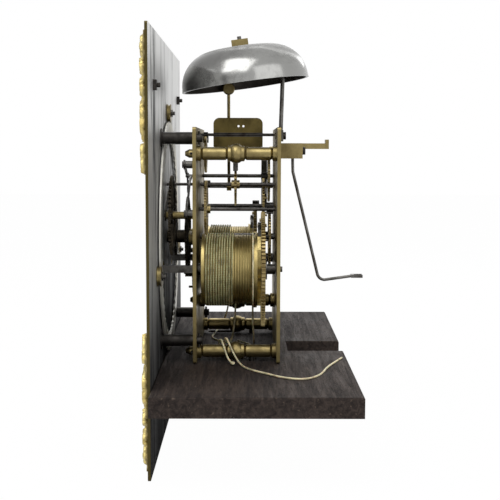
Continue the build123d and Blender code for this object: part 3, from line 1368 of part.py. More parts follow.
save("back_cock", back_cock)

tilt = math.radians(BELL_TILT)
BELL_AXIS = Vector(0, -math.sin(tilt), math.cos(tilt))
BELL_CENTRE = Vector(CENTRE[0], BELL_Y, TOP + BELL_RISE)
with BuildPart() as bell:
    with BuildSketch(Plane(BELL_CENTRE, x_dir=(1, 0, 0), z_dir=(0, -math.cos(tilt), -math.sin(tilt)))):
        with BuildLine():
            lip = Line((BELL_R, 0), (BELL_R - 0.4, BELL_LIP))
            side = ThreePointArc(lip @ 1, BELL_SHOULDER, BELL_TOP)
            top = Line(side @ 1, (STAND_R + FIT, BELL_HEIGHT))
            hole = Line(top @ 1, (STAND_R + FIT, BELL_HEIGHT - BELL_WALL))
            under = Line(hole @ 1, (BELL_TOP[0] - BELL_WALL / 3, BELL_TOP[1] - BELL_WALL))
            inner = ThreePointArc(
                under @ 1,
                (BELL_SHOULDER[0] - 0.7 * BELL_WALL, BELL_SHOULDER[1] - 0.7 * BELL_WALL),
                (BELL_R - BELL_WALL, BELL_LIP),
            )
            Polyline(inner @ 1, (BELL_R - BELL_WALL, 0), (BELL_R, 0))
        make_face()
    revolve(axis=Axis(BELL_CENTRE, BELL_AXIS))
save("bell", bell)


def on_bell_axis(height):
    return BELL_CENTRE + BELL_AXIS * height


with BuildPart() as bell_nut:
    with BuildSketch(Plane(on_bell_axis(BELL_HEIGHT), x_dir=(1, 0, 0), z_dir=BELL_AXIS)):
        Rectangle(BELL_NUT, BELL_NUT)
        Circle(STAND_R + FIT, mode=Mode.SUBTRACT)
    extrude(amount=BELL_NUT_HIGH)
save("bell_nut", bell_nut)

with BuildPart() as bell_stand:
    with BuildSketch(face_at(BACK_FACE)):
        with Locations(STAND_FOOT):
            Rectangle(STAND_FOOT_WIDE, STAND_FOOT_HIGH)
            Circle(SCREW_R + FIT, mode=Mode.SUBTRACT)
    slab(BACK_FACE, BACK_FACE + STAND_FOOT_THICK)
    round_rod(
        STAND_R,
        (STAND_FOOT[0], BACK_FACE + STAND_FOOT_THICK / 2, STAND_FOOT[1] + STAND_FOOT_HIGH / 2 - 0.5),
        (BELL_CENTRE.X, STAND_BEND[0], TOP + STAND_BEND[1]),
        on_bell_axis(BELL_HEIGHT - STAND_DROP),
        on_bell_axis(BELL_HEIGHT + BELL_NUT_HIGH + STAND_TIP),
        bends=(9.0, 5.0),
    )
    with BuildSketch(Plane(on_bell_axis(BELL_HEIGHT - BELL_WALL - 2 * RUN), x_dir=(1, 0, 0), z_dir=BELL_AXIS)):
        Circle(2 * STAND_R)
    extrude(amount=-BELL_WALL)
save("bell_stand", bell_stand)

with BuildPart() as springs:
    x, z = SPRING_FOOT
    foot_near = BACK_PLATE_Y - 10.0
    with BuildSketch(Plane.XY.offset(z - 3.0)):
        with Locations((x, (foot_near + BACK_PLATE_Y) / 2)):
            Rectangle(5.0, BACK_PLATE_Y - foot_near)
    extrude(amount=6.0)
    arm((x - 1.6, z), (x - 2.2, z + SPRING_HIGH / 2), 0.8, 0.8, foot_near, 5.0)
    arm((x - 2.2, z + SPRING_HIGH / 2), (x - 1.2, z + SPRING_HIGH), 0.8, 0.8, foot_near, 5.0)
    disc(SPRING_FOOT, SCREW_R + FIT, foot_near, BACK_PLATE_Y, mode=Mode.SUBTRACT)
    x, z = RACK_SPRING
    disc(RACK_SPRING, 2.2, RACK_Y, 0)
    arm((x - 1.0, z), (x - 1.4, z + 22.0), 0.8, 0.8, RACK_Y, RACK_THICK)
    arm((x - 1.4, z + 22.0), (x + 2.0, z + 37.0), 0.8, 0.8, RACK_Y, RACK_THICK)
save("springs", springs)

with BuildPart() as pins_and_screws:
    for x, z in PILLARS:
        with BuildSketch(Plane.YZ.offset(x - PIN_LONG / 2)):
            with Locations((PILLAR_PIN_Y, z)):
                Circle(PIN_R)
        extrude(amount=PIN_LONG)
    for x, z in FEET:
        with BuildSketch(Plane.XY.offset(z - FOOT_PIN_LONG / 2)):
            with Locations((x, FOOT_PIN_Y)):
                Circle(PIN_R)
        extrude(amount=FOOT_PIN_LONG)
    for place in COCK_SCREWS:
        disc(place, SCREW_HEAD_R, BACK_FACE + COCK_DEEP, BACK_FACE + COCK_DEEP + COCK_HEAD)
        disc(place, SCREW_R, BACK_PLATE_Y + PIVOT_START, BACK_FACE + COCK_DEEP)
    stand_back = BACK_FACE + STAND_FOOT_THICK
    disc(STAND_FOOT, SCREW_HEAD_R, stand_back, stand_back + COCK_HEAD)
    disc(STAND_FOOT, SCREW_R, BACK_PLATE_Y + PIVOT_START, stand_back)
    disc(SPRING_FOOT, SCREW_HEAD_R, BACK_FACE, BACK_FACE + COCK_HEAD)
    disc(SPRING_FOOT, SCREW_R, foot_near + PIVOT_START, BACK_FACE)
    for place in BRIDGE_SCREWS:
        disc(place, SCREW_HEAD_R, BRIDGE_Y - BRIDGE_HEAD, BRIDGE_Y)
        disc(place, SCREW_R, BRIDGE_Y, PLATE_THICK - PIVOT_START)
save("pins_and_screws", pins_and_screws)


# The loose ends of the gut lines

LINE_BED = TOP + LINE_R + FIT
WOUND_R = BARREL_R + LINE_R + FIT


def cord(name, points, knot=None):
    """A free stretch of line: straight runs, with each corner rounded as far as its runs allow."""
    places = [Vector(*point) for point in points]
    runs = [b - a for a, b in zip(places, places[1:])]
    radii = []
    for one, two in zip(runs, runs[1:]):
        half = math.radians(one.get_angle(two)) / 2
        radii.append(0.45 * min(one.length, two.length) / math.tan(half))
    with BuildPart() as line:
        with BuildLine() as path:
            FilletPolyline(*places, radius=radii)
        with BuildSketch(Plane(path.line @ 0, z_dir=path.line % 0)):
            Circle(LINE_R)
        sweep(path=path.line)
        ideal = math.pi * LINE_R**2 * path.wire().length
        ratio = line.part.volume / ideal
        if knot:
            with Locations(knot):
                Sphere(2.2 * LINE_R)
    print(name, "length", round(path.wire().length, 1), "mm, volume ratio", round(ratio, 4))
    print(name, "bend radii", [round(radius, 1) for radius in radii])
    save(name, line)


BESIDE = 2 * LINE_R + LINE_GAP
GOING_LEAVES = (GOING_BARREL[0] - WOUND_R, WINDING_FRONT + GOING_TURNS * GROOVE_PITCH + BESIDE)
STRIKE_LEAVES = (STRIKE_BARREL[0] - WOUND_R, WINDING_FRONT + STRIKE_TURNS * GROOVE_PITCH + BESIDE)
LINE_TOP = GOING_BARREL[1] - AIR

cord(
    "going_line",
    (
        (GOING_LEAVES[0], GOING_LEAVES[1], LINE_TOP),
        (GOING_LEAVES[0] + 0.3, GOING_LEAVES[1] - 0.2, LINE_TOP - 22.0),
        (GOING_LEAVES[0] - 0.6, GOING_LEAVES[1] - 1.0, LINE_TOP - 46.0),
        (10.0, 27.5, TOP + 3.6),
        (20.0, 19.0, LINE_BED),
        (34.0, 17.0, LINE_BED),
        (45.0, 18.0, TOP + 5.4),
        (51.5, 19.4, TOP + 14.6),
        (61.0, 21.0, TOP + 17.2),
        (68.4, 23.6, TOP + 11.2),
        (71.4, 26.4, TOP + 3.4),
        (75.0, 29.3, TOP + 1.9),
    ),
    knot=(75.8, 30.0, TOP + 1.9),
)
cord(
    "strike_line",
    (
        (STRIKE_LEAVES[0], STRIKE_LEAVES[1], LINE_TOP),
        (STRIKE_LEAVES[0] - 0.4, STRIKE_LEAVES[1] - 1.2, LINE_TOP - 24.0),
        (STRIKE_LEAVES[0] - 2.0, STRIKE_LEAVES[1] - 4.5, LINE_TOP - 50.0),
        (-72.0, 19.0, TOP + 7.0),
        (-66.0, 14.0, LINE_BED),
        (-50.0, 12.0, LINE_BED),
        (-32.0, 10.0, LINE_BED),
        (-16.0, 17.0, LINE_BED),
        (-6.0, 33.0, LINE_BED),
        (12.0, 40.0, LINE_BED),
        (30.0, 33.0, LINE_BED),
        (41.0, 25.0, LINE_BED),
        (47.6, 22.6, TOP + 10.6),
        (55.0, 24.0, TOP + 18.2),
        (64.6, 26.6, TOP + 15.4),
        (69.6, 31.0, TOP + 6.4),
        (78.0, 36.0, LINE_BED),
        (92.0, 42.6, LINE_BED),
        (105.7, 55.7, LINE_BED),
        (117.8, 66.3, LINE_BED),
        (122.8, 81.9, LINE_BED),
        (107.7, 93.4, LINE_BED),
        (84.0, 99.0, LINE_BED),
        (62.0, 108.2, LINE_BED),
        (49.5, 113.6, LINE_BED),
    ),
)

hang = WOUND_R + FIT + AIR
corner_r = hang / math.cos(math.radians(15.0))
gx, gz = GOING_BARREL
tail_route = [(gx - 1.0, BARREL_TAIL_Y, gz + hang)]
for n in range(6):
    place = away(GOING_BARREL, corner_r, 75.0 - 30.0 * n)
    tail_route.append((place[0], BARREL_TAIL_Y, place[1]))
tail_route += [
    (gx - 7.0, BARREL_TAIL_Y, gz - hang - 2.0),
    (gx - 15.0, BARREL_TAIL_Y, gz - hang - 14.0),
    (gx - 19.0, BARREL_TAIL_Y + 1.0, TOP + 12.0),
    (gx - 29.0, BARREL_TAIL_Y + 1.0, LINE_BED),
    (gx - 46.0, BARREL_TAIL_Y - 2.0, LINE_BED),
    (gx - 60.0, BARREL_TAIL_Y - 12.0, LINE_BED),
]
cord("going_line_tail", tail_route)
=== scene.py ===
import math

import bpy
from bpy.props import FloatProperty, FloatVectorProperty, PointerProperty
from mathutils import Matrix, Vector


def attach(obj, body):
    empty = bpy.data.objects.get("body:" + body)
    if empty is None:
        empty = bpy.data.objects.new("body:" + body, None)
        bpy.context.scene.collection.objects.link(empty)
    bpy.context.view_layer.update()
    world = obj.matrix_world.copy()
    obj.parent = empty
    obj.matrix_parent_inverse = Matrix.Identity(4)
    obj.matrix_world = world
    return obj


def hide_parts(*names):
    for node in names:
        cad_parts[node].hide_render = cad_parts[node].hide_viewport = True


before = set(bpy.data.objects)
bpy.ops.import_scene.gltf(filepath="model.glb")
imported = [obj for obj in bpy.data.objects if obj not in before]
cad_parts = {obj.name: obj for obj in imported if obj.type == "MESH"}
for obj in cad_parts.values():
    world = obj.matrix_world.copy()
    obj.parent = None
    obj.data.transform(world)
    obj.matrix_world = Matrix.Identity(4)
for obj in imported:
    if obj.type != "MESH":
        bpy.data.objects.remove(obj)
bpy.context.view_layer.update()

bl_info = {
    "name": "Longcase clock movement",
    "version": (1, 0, 0),
    "blender": (4, 5, 0),
    "location": "3D View > Sidebar > Clock",
    "description": "Dresses a longcase clock movement, its square dial and its seatboard",
    "category": "Object",
}

MM = 0.001
FULL_TURN = 2 * math.pi
SQUARE_TURN = math.pi / 2

# Arbors, in millimetres: across, and up
CENTRE = (0.0, 104.0)
SECONDS = (0.0, 146.01)
THIRD = (15.98, 126.99)
PIN_ARBOR = (-31.02, 127.06)
DATE_ARBOR = (39.98, 123.59)
FLY = (-21.0, 186.0)
GOING_BARREL = (41.60, 82.30)
STRIKE_BARREL = (-41.60, 82.30)

# Heights, depths and radii
BELL_CENTRE = (0.0, 38.7, 226.0)  # across, back and up
BOARD_TOP = 14.0
DIAL_FACE = -26.1
RING_FACE = -27.6
CALENDAR_FACE = -22.9
ARBOR_R = 1.7
PINION_R = 7.0
DATE_PIPE_R = 3.0
MATTED_R = 97.5

# Gut lines and their windings
BARREL_R = 26.6
LINE_R = 0.72
WOUND_R = BARREL_R + LINE_R + 0.02
BESIDE = 2 * LINE_R + 0.16
GROOVE_PITCH = 1.95
WINDING_FRONT = 8.6
GOING_TURNS = 11
STRIKE_TURNS = 9
LINE_BED = BOARD_TOP + LINE_R + 0.02
LINE_TOP = GOING_BARREL[1] - 0.35

# Colours, bright before dull
ARBOR_STEEL = ((0.09, 0.085, 0.08), (0.04, 0.034, 0.03))
PIPE_BRASS = ((0.33, 0.26, 0.11), (0.17, 0.13, 0.055))
BARREL_BRASS = ((0.46, 0.37, 0.155), (0.27, 0.21, 0.085))
FLY_BRASS = ((0.13, 0.10, 0.035), (0.06, 0.045, 0.018))
DARK_STEEL = ((0.05, 0.046, 0.042), (0.022, 0.02, 0.018))
BLUED_STEEL = ((0.035, 0.045, 0.09), (0.02, 0.022, 0.03))
DARK_BRASS = ((0.07, 0.058, 0.04), (0.026, 0.023, 0.018), (0.16, 0.12, 0.055))
RING_BRASS = ((0.5, 0.38, 0.17), (0.28, 0.2, 0.09), (0.1, 0.075, 0.04))
SILVERING = ((0.66, 0.65, 0.6), (0.5, 0.46, 0.35))
DULL_PLATE = (0.13, 0.10, 0.045)
DULL_TURNING = (0.15, 0.115, 0.05)
DULL_WHEEL = (0.19, 0.14, 0.06)
DULL_STEEL = (0.05, 0.045, 0.04)
TARNISH = (0.10, 0.075, 0.04)
RUST = (0.075, 0.04, 0.022)
# Bell: dark tarnish patches, also the colour of the painted dark reflection on its front and of the painted
# shade on its top.
BELL_TARNISH_AND_SHADE = (0.1, 0.098, 0.095)
# Painted shade inside the bell.
BELL_INSIDE_SHADE = (0.05, 0.045, 0.04)
# Tinned dial back: the first colour is painted light on the upper part, the second is painted shade lower
# down, the third is the dark of the dull streaks.
DIAL_TIN_WITH_PAINTED_LIGHT = ((0.56, 0.56, 0.55), (0.07, 0.07, 0.07), (0.012, 0.012, 0.012))
DIAL_BRASS = ((0.5, 0.38, 0.17), (0.28, 0.2, 0.09), (0.07, 0.055, 0.02))
OAK = ((0.046, 0.033, 0.027), (0.012, 0.0085, 0.0075), (0.003, 0.0025, 0.002))
OAK_FLECK = (0.16, 0.12, 0.09)
BARE_BRASS = (0.42, 0.36, 0.24)
GUT_GRIME = (0.36, 0.30, 0.16)
GUT_SHADE = 0.45
WOUND_GUT = (0.66, 0.70, 0.56)
GILT_DULL = (0.30, 0.21, 0.06)
# Dark brown of the spandrels' hollows: grime with painted shade.
GILT_RECESS_GRIME_AND_SHADE = (0.07, 0.05, 0.02)
BLACK_WAX = (0.018, 0.017, 0.016)
WAX_WORN = (0.16, 0.15, 0.13)


# Node wiring

MIX_FIRST, MIX_SECOND, MIX_RESULT = 6, 7, 2  # the colour sockets of a Mix node


class Wire:
    """One outlet of a node; arithmetic on it adds Math nodes."""

    def __init__(self, nodes, socket):
        self.nodes = nodes
        self.socket = socket

    def __add__(self, other):
        return self.nodes.math("ADD", self, other)

    def __radd__(self, other):
        return self.nodes.math("ADD", other, self)

    def __sub__(self, other):
        return self.nodes.math("SUBTRACT", self, other)

    def __rsub__(self, other):
        return self.nodes.math("SUBTRACT", other, self)

    def __mul__(self, other):
        return self.nodes.math("MULTIPLY", self, other)

    def __rmul__(self, other):
        return self.nodes.math("MULTIPLY", other, self)

    def __truediv__(self, other):
        return self.nodes.math("DIVIDE", self, other)

    def __pow__(self, other):
        return self.nodes.math("POWER", self, other)

    def __lt__(self, other):
        return self.nodes.math("LESS_THAN", self, other)

    def __gt__(self, other):
        return self.nodes.math("GREATER_THAN", self, other)


class Nodes:
    """A node tree under construction."""

    def __init__(self, tree):
        self.tree = tree

    def feed(self, inlet, value):
        """Wire an inlet, or set its constant."""
        if isinstance(value, Wire):
            self.tree.links.new(value.socket, inlet)
        elif inlet.type == "RGBA":
            inlet.default_value = (*value, 1.0)
        else:
            inlet.default_value = value

    def node(self, kind, settings=None, inputs=None, out=0):
        """Add a node: its settings first, then the values or wires of its inlets."""
        made = self.tree.nodes.new(kind)
        for key, value in (settings or {}).items():
            setattr(made, key, value)
        for key, value in (inputs or {}).items():
            self.feed(made.inputs[key], value)
        return Wire(self, made.outputs[out]) if made.outputs else None

    def math(self, operation, first, second=0.0):
        return self.node("ShaderNodeMath", {"operation": operation}, {0: first, 1: second})

    def most(self, first, second):
        return self.math("MAXIMUM", first, second)


class Finish(Nodes):
    """A procedural material under construction."""

    def __init__(self, name):
        self.material = bpy.data.materials.new(name)
        self.material.use_nodes = True
        super().__init__(self.material.node_tree)
        self.tree.nodes.clear()

    def place(self, stretch=(1.0, 1.0, 1.0)):
        """Where a point lies on the piece, with each axis scaled."""
        at = self.node("ShaderNodeTexCoord", out="Object")
        return self.node("ShaderNodeMapping", None, {"Vector": at, "Scale": stretch})

    def noise(self, at, scale, detail=4.0, rough=0.55, warp=0.0):
        inlets = {"Vector": at, "Scale": scale, "Detail": detail, "Roughness": rough, "Distortion": warp}
        return self.node("ShaderNodeTexNoise", None, inlets)

    def cells(self, at, scale):
        return self.node("ShaderNodeTexVoronoi", None, {"Vector": at, "Scale": scale})

    def between(self, wire, low, high):
        """0 below low, 1 above high, smooth in between."""
        settings = {"interpolation_type": "SMOOTHSTEP"}
        return self.node("ShaderNodeMapRange", settings, {"Value": wire, "From Min": low, "From Max": high})

    def blend(self, first, second, share):
        """One colour going over into another."""
        inlets = {0: share, MIX_FIRST: first, MIX_SECOND: second}
        return self.node("ShaderNodeMix", {"data_type": "RGBA"}, inlets, MIX_RESULT)

    def parts(self, at):
        """The three numbers of a place."""
        first = self.node("ShaderNodeSeparateXYZ", None, {0: at})
        return [Wire(self, outlet) for outlet in first.socket.node.outputs]

    def normal(self):
        """Which way the piece faces, across, back and up."""
        return self.parts(self.node("ShaderNodeTexCoord", out="Normal"))

    def from_axis(self, across, up, axis):
        """How far a place lies from a line that runs back through the clock."""
        return ((across - axis[0] * MM) ** 2.0 + (up - axis[1] * MM) ** 2.0) ** 0.5

    def surface(self, colour, roughness, metallic=0.0, relief=None, depth=0.0002, constants=None):
        inlets = {"Base Color": colour, "Roughness": roughness, "Metallic": metallic}
        inlets.update(constants or {})
        if relief is not None:
            bump = {"Strength": 1.0, "Distance": depth, "Height": relief}
            inlets["Normal"] = self.node("ShaderNodeBump", None, bump)
        shader = self.node("ShaderNodeBsdfPrincipled", None, inlets)
        self.node("ShaderNodeOutputMaterial", None, {"Surface": shader})
        return self.material


# Finishes


def old_metal(
    name, bright, dull, dirt, scale, rough, lines=(1.0, 1.0, 1.0), depth=0.00003, dirty=0.62, arbor=None
):
    """Metal that drifts from bright to dull, with specks of dirt and fine working marks.

    arbor gives the place and radius of another metal through it, the stretch that its pinion
    takes up, and its bright and dull colours.
    """
    f = Finish(name)
    at = f.place()
    patch = f.between(f.noise(at, scale, 6.0, 0.62), 0.36, 0.66)
    cloud = f.between(f.noise(at, scale * 3.3, 5.0, 0.7), 0.42, 0.7)
    speck = f.between(f.noise(at, scale * 11.0, 4.0, 0.7), dirty, dirty + 0.1)
    marks = f.noise(f.place(lines), 900.0, 3.0, 0.6)
    colour = f.blend(bright, dull, patch * 0.75 + cloud * 0.25)
    colour = f.blend(colour, dirt, speck * 0.85)
    if arbor:
        axis, reach, near, far, middle = arbor
        across, deep, up = f.parts(at)
        out = f.from_axis(across, up, axis)
        pinion = (deep > near * MM) * (deep < far * MM) * (out < PINION_R * MM)
        colour = f.blend(colour, f.blend(*middle, cloud), f.most(pinion, out < reach * MM))
    roughness = rough[0] + (rough[1] - rough[0]) * patch + 0.12 * marks + 0.2 * speck
    return f.surface(colour, roughness, 1.0 - 0.75 * speck, marks + 0.5 * cloud - speck, depth)


def dial_sheet(name, tin_with_painted_light, brass):
    """Brass sheet, tinned and streaky behind, matted inside the chapter ring in front. Behind, painted light
    brightens the upper part and painted highlights lie on the bright streaks.
    """
    back, back_painted_shade_low, back_dark = tin_with_painted_light
    bright, dull, edge_colour = brass
    f = Finish(name)
    at = f.place()
    facing = f.normal()[1]
    behind = f.between(facing, 0.3, 0.7)
    across, deep, up = f.parts(at)
    streak = f.noise(f.place((1.0, 1.0, 0.07)), 95.0, 5.0, 0.7)
    smear = f.noise(f.place((0.6, 1.0, 0.3)), 22.0, 4.0, 0.6, 0.8)
    # Painted light: the tinned back is painted brighter towards the top.
    height = f.between(up + 0.06 * (smear - 0.5), 0.02, 0.17)
    # Streaks of the real streaky tinning, with painted highlights: the bright streaks are painted light grey,
    # more of them towards the top.
    streaks_and_painted_sheen = f.between(streak * 0.6 + smear * 0.4 + 0.09 * height, 0.43, 0.59)
    grey = f.blend(back_dark, f.blend(back_painted_shade_low, back, height), streaks_and_painted_sheen)
    stain = f.between(f.noise(at, 18.0, 6.0, 0.65), 0.35, 0.7)
    edge = facing**2.0 < 0.2
    gold = f.blend(f.blend(bright, dull, stain), edge_colour, edge)
    matted = (f.from_axis(across, up, CENTRE) < MATTED_R * MM) * (1.0 - behind)
    stipple = f.cells(at, 950.0)
    relief = streak * behind * 0.4 + stipple * matted
    dark = behind * (1.0 - streaks_and_painted_sheen * (0.25 + 0.75 * height))
    roughness = 0.3 + 0.2 * smear + 0.18 * matted + 0.3 * dark
    colour = f.blend(gold, grey, behind)
    constants = {"Specular IOR Level": 0.12}
    return f.surface(colour, roughness, 1.0 - 0.95 * dark, relief, 0.00012, constants)


def silvered(name, silver, yellowed):
    """Silvered brass with a circular grain about the hands' arbor."""
    f = Finish(name)
    at = f.place()
    across, deep, up = f.parts(at)
    from_centre = f.from_axis(across, up, CENTRE)
    grain = f.node("ShaderNodeTexNoise", {"noise_dimensions": "1D"}, {"W": from_centre, "Scale": 2600.0})
    stain = f.between(f.noise(at, 24.0, 6.0, 0.62), 0.4, 0.72)
    worn = f.between(f.noise(at, 75.0, 4.0, 0.6), 0.6, 0.75)
    colour = f.blend(f.blend(silver, yellowed, stain * 0.7), BARE_BRASS, worn * 0.5)
    return f.surface(colour, 0.36 + 0.14 * stain + 0.1 * grain, 0.85, grain, 0.00003)


def weathered_oak(name, pale, dark, hole):
    """Old oak: grain along the board, pores, knots and a few worm holes."""
    f = Finish(name)
    at = f.place()
    wander = f.noise(f.place((1.0, 4.0, 4.0)), 5.0, 3.0, 0.5)
    ring = f.noise(f.place((0.7, 9.0, 9.0)), 26.0, 6.0, 0.68, 0.6)
    pores = f.between(f.noise(f.place((0.12, 1.0, 1.0)), 900.0, 3.0, 0.7), 0.56, 0.66)
    knot = 1.0 - f.between(f.cells(f.place((0.55, 1.0, 1.0)), 17.0), 0.10, 0.34)
    worms = 1.0 - f.between(f.cells(at, 34.0), 0.04, 0.06)
    grain = f.between(ring * 0.7 + wander * 0.3, 0.35, 0.64)
    dirt = f.between(f.noise(at, 34.0, 6.0, 0.7), 0.42, 0.7)
    fleck = f.between(f.noise(f.place((0.5, 1.0, 1.0)), 420.0, 4.0, 0.7), 0.6, 0.72)
    colour = f.blend(pale, dark, grain)
    colour = f.blend(colour, dark, pores * 0.7 + knot * 0.6)
    colour = f.blend(colour, dark, dirt * 0.5)
    colour = f.blend(colour, OAK_FLECK, fleck * 0.5)
    colour = f.blend(colour, hole, worms)
    relief = grain * -0.5 - pores * 0.6 - worms * 3.0 + knot * 0.3
    roughness = 0.66 + 0.2 * grain - 0.1 * dirt
    return f.surface(colour, roughness, 0.0, relief, 0.0004, {"Specular IOR Level": 0.18})


def gut_line(name, pale):
    """Gut: pale, mottled, finely ribbed and a little translucent."""
    f = Finish(name)
    at = f.place()
    mottle = f.noise(at, 150.0, 4.0, 0.6)
    rib = f.noise(at, 1400.0, 3.0, 0.65)
    grime = f.between(f.noise(at, 60.0, 5.0, 0.65), 0.55, 0.72)
    shade = tuple(GUT_SHADE * part for part in pale)
    colour = f.blend(shade, pale, f.between(mottle, 0.34, 0.6))
    colour = f.blend(colour, GUT_GRIME, grime * 0.5)
    constants = {"Subsurface Weight": 0.12, "Subsurface Scale": 0.001}
    return f.surface(colour, 0.42 + 0.2 * rib, 0.0, rib, 0.00008, constants)


def gilded(name, bright, dull, recess_grime_and_shade):
    """Gilt casting: bright on its high places, brown in its hollows, from grime and from painted shade."""
    f = Finish(name)
    height = f.node("ShaderNodeAttribute", {"attribute_name": "height"}, out="Fac")
    worn = f.between(f.noise(f.place(), 60.0, 5.0, 0.65), 0.36, 0.66)
    # Grime and painted shade: the low places of the casting are painted dark brown and made rougher and less
    # metallic.
    hollow_grime_and_shade = 1.0 - f.between(height + 0.25 * worn, 0.3, 0.8)
    colour = f.blend(f.blend(bright, dull, worn * 0.6), recess_grime_and_shade, hollow_grime_and_shade * 0.85)
    return f.surface(colour, 0.22 + 0.25 * worn + 0.2 * hollow_grime_and_shade, 1.0 - 0.4 * hollow_grime_and_shade, worn, 0.00004)


def bell_metal(name, outside, tarnish_and_shade_colour, inside, centre):
    """Polished bell metal with dark tarnish patches outside, painted dark reflection on its front, and
    painted shade, with a duller finish, on its top and inside.
    """
    f = Finish(name)
    at = f.place()
    faces = f.normal()
    out = 0.0
    for face, part, middle in zip(faces, f.parts(at), centre):
        out = out + face * (part - middle * MM)
    # Painted shade: faces inside the bell, turned towards its middle, are painted dark and made rougher.
    inside_painted_shade = out < 0.0
    # Painted dark reflection: faces turned to the front, and less so upwards, are painted towards the darker
    # tarnish colour.
    front = 1.0 - f.between(faces[1] - 0.5 * faces[2], -1.1, -0.1)
    # Painted shade on the top and on the shoulder turned back, to dim their bright reflection; these faces
    # are also made rougher and less metallic.
    crown_rough_and_painted_shade = f.most(f.between(faces[2], 0.8, 0.94), f.between(faces[2] + 0.4 * faces[1], 0.84, 0.98))
    patch = f.between(f.noise(at, 24.0, 6.0, 0.66, 0.5), 0.46, 0.62)
    cloud = f.between(f.noise(at, 70.0, 5.0, 0.7), 0.45, 0.7)
    scratch = f.noise(f.place((1.0, 1.0, 0.08)), 600.0, 3.0, 0.6)
    colour = f.blend(outside, tarnish_and_shade_colour, patch * 0.7 + cloud * 0.2)
    colour = f.blend(colour, tarnish_and_shade_colour, f.most(front * 0.8, crown_rough_and_painted_shade * 0.55))
    colour = f.blend(colour, inside, inside_painted_shade)
    roughness = 0.13 + 0.2 * patch + 0.1 * scratch + 0.3 * inside_painted_shade + 0.35 * crown_rough_and_painted_shade
    relief = scratch + 0.4 * cloud
    return f.surface(colour, roughness, 1.0 - 0.9 * crown_rough_and_painted_shade, relief, 0.00001, {"Specular IOR Level": 0.15})


def black_wax(name, colour, roughness):
    """Black wax in engraved figures, with small wear."""
    f = Finish(name)
    worn = f.between(f.noise(f.place(), 420.0, 4.0, 0.65), 0.6, 0.75)
    return f.surface(f.blend(colour, WAX_WORN, worn * 0.6), roughness + 0.15 * worn)


# Meshes and node trees


def dress(piece, material):
    """Give a piece its one finish."""
    piece.data.materials.clear()
    piece.data.materials.append(material)


def link(name, data):
    """Put a new object into the scene."""
    made = bpy.data.objects.new(name, data)
    bpy.context.scene.collection.objects.link(made)
    return made


def smooth(piece):
    for face in piece.data.polygons:
        face.use_smooth = True


def mesh_piece(name, points, faces, material, body):
    """A piece from points in millimetres, which rides on a body."""
    mesh = bpy.data.meshes.new(name)
    mesh.from_pydata([Vector(point) * MM for point in points], [], faces)
    mesh.validate()
    piece = link(name, mesh)
    dress(piece, material)
    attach(piece, body)
    return piece


class Tree(Nodes):
    """A Geometry Nodes tree under construction, with named inlets for its sizes."""

    kinds = {"int": "NodeSocketInt", "float": "NodeSocketFloat", "Material": "NodeSocketMaterial"}

    def __init__(self, name, inlets):
        super().__init__(bpy.data.node_groups.new(name, "GeometryNodeTree"))
        face = self.tree.interface
        face.new_socket("Geometry", in_out="INPUT", socket_type="NodeSocketGeometry")
        self.values = {}
        for title, value in inlets.items():
            kind = self.kinds[type(value).__name__]
            made = face.new_socket(title, in_out="INPUT", socket_type=kind)
            self.values[made.identifier] = value
        face.new_socket("Geometry", in_out="OUTPUT", socket_type="NodeSocketGeometry")
        self.start = self.tree.nodes.new("NodeGroupInput")
        self.end = self.tree.nodes.new("NodeGroupOutput")

    def inlet(self, title):
        return Wire(self, self.start.outputs[title])

    def spot(self, x, y, z):
        return self.node("ShaderNodeCombineXYZ", None, {"X": x, "Y": y, "Z": z})

    def instances(self, places, thing, **how):
        """A copy of one thing at each place, with the turn and scale that how gives."""
        inlets = {"Points": places, "Instance": thing, **how}
        return self.node("GeometryNodeInstanceOnPoints", None, inlets)

    def make(self, geometry, name, body, mesh=None):
        """Close the tree with real geometry in its finish, and keep what it makes as a plain mesh."""
        real = self.node("GeometryNodeRealizeInstances", None, {0: geometry})
        dressed = {"Geometry": real, "Material": self.inlet("Finish")}
        self.feed(self.end.inputs[0], self.node("GeometryNodeSetMaterial", None, dressed))
        piece = link(name, mesh or bpy.data.meshes.new(name))
        modifier = piece.modifiers.new(name, "NODES")
        modifier.node_group = self.tree
        for identifier, value in self.values.items():
            modifier[identifier] = value
        graph = bpy.context.evaluated_depsgraph_get()
        made = bpy.data.meshes.new_from_object(piece.evaluated_get(graph))
        piece.modifiers.clear()
        piece.data = made
        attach(piece, body)
        return piece


# Settings that a user would change


class ClockMetals(bpy.types.PropertyGroup):
    plate_brass: FloatVectorProperty(
        name="Plate brass", description="Colour of the plates, pillars and cock", subtype="COLOR",
        min=0.0, max=1.0, default=(0.27, 0.215, 0.095),
    )
    wheel_brass: FloatVectorProperty(
        name="Wheel brass", description="Colour of the cleaner wheels", subtype="COLOR",
        min=0.0, max=1.0, default=(0.40, 0.32, 0.155),
    )
    gilt: FloatVectorProperty(
        name="Gilt brass", description="Colour of the spandrels", subtype="COLOR",
        min=0.0, max=1.0, default=(0.72, 0.60, 0.24),
    )
    steel: FloatVectorProperty(
        name="Steel", description="Colour of the arbors and levers", subtype="COLOR",
        min=0.0, max=1.0, default=(0.14, 0.135, 0.125),
    )
    bell_metal: FloatVectorProperty(
        name="Bell metal", description="Colour of the bell", subtype="COLOR",
        min=0.0, max=1.0, default=(0.30, 0.30, 0.29),
    )


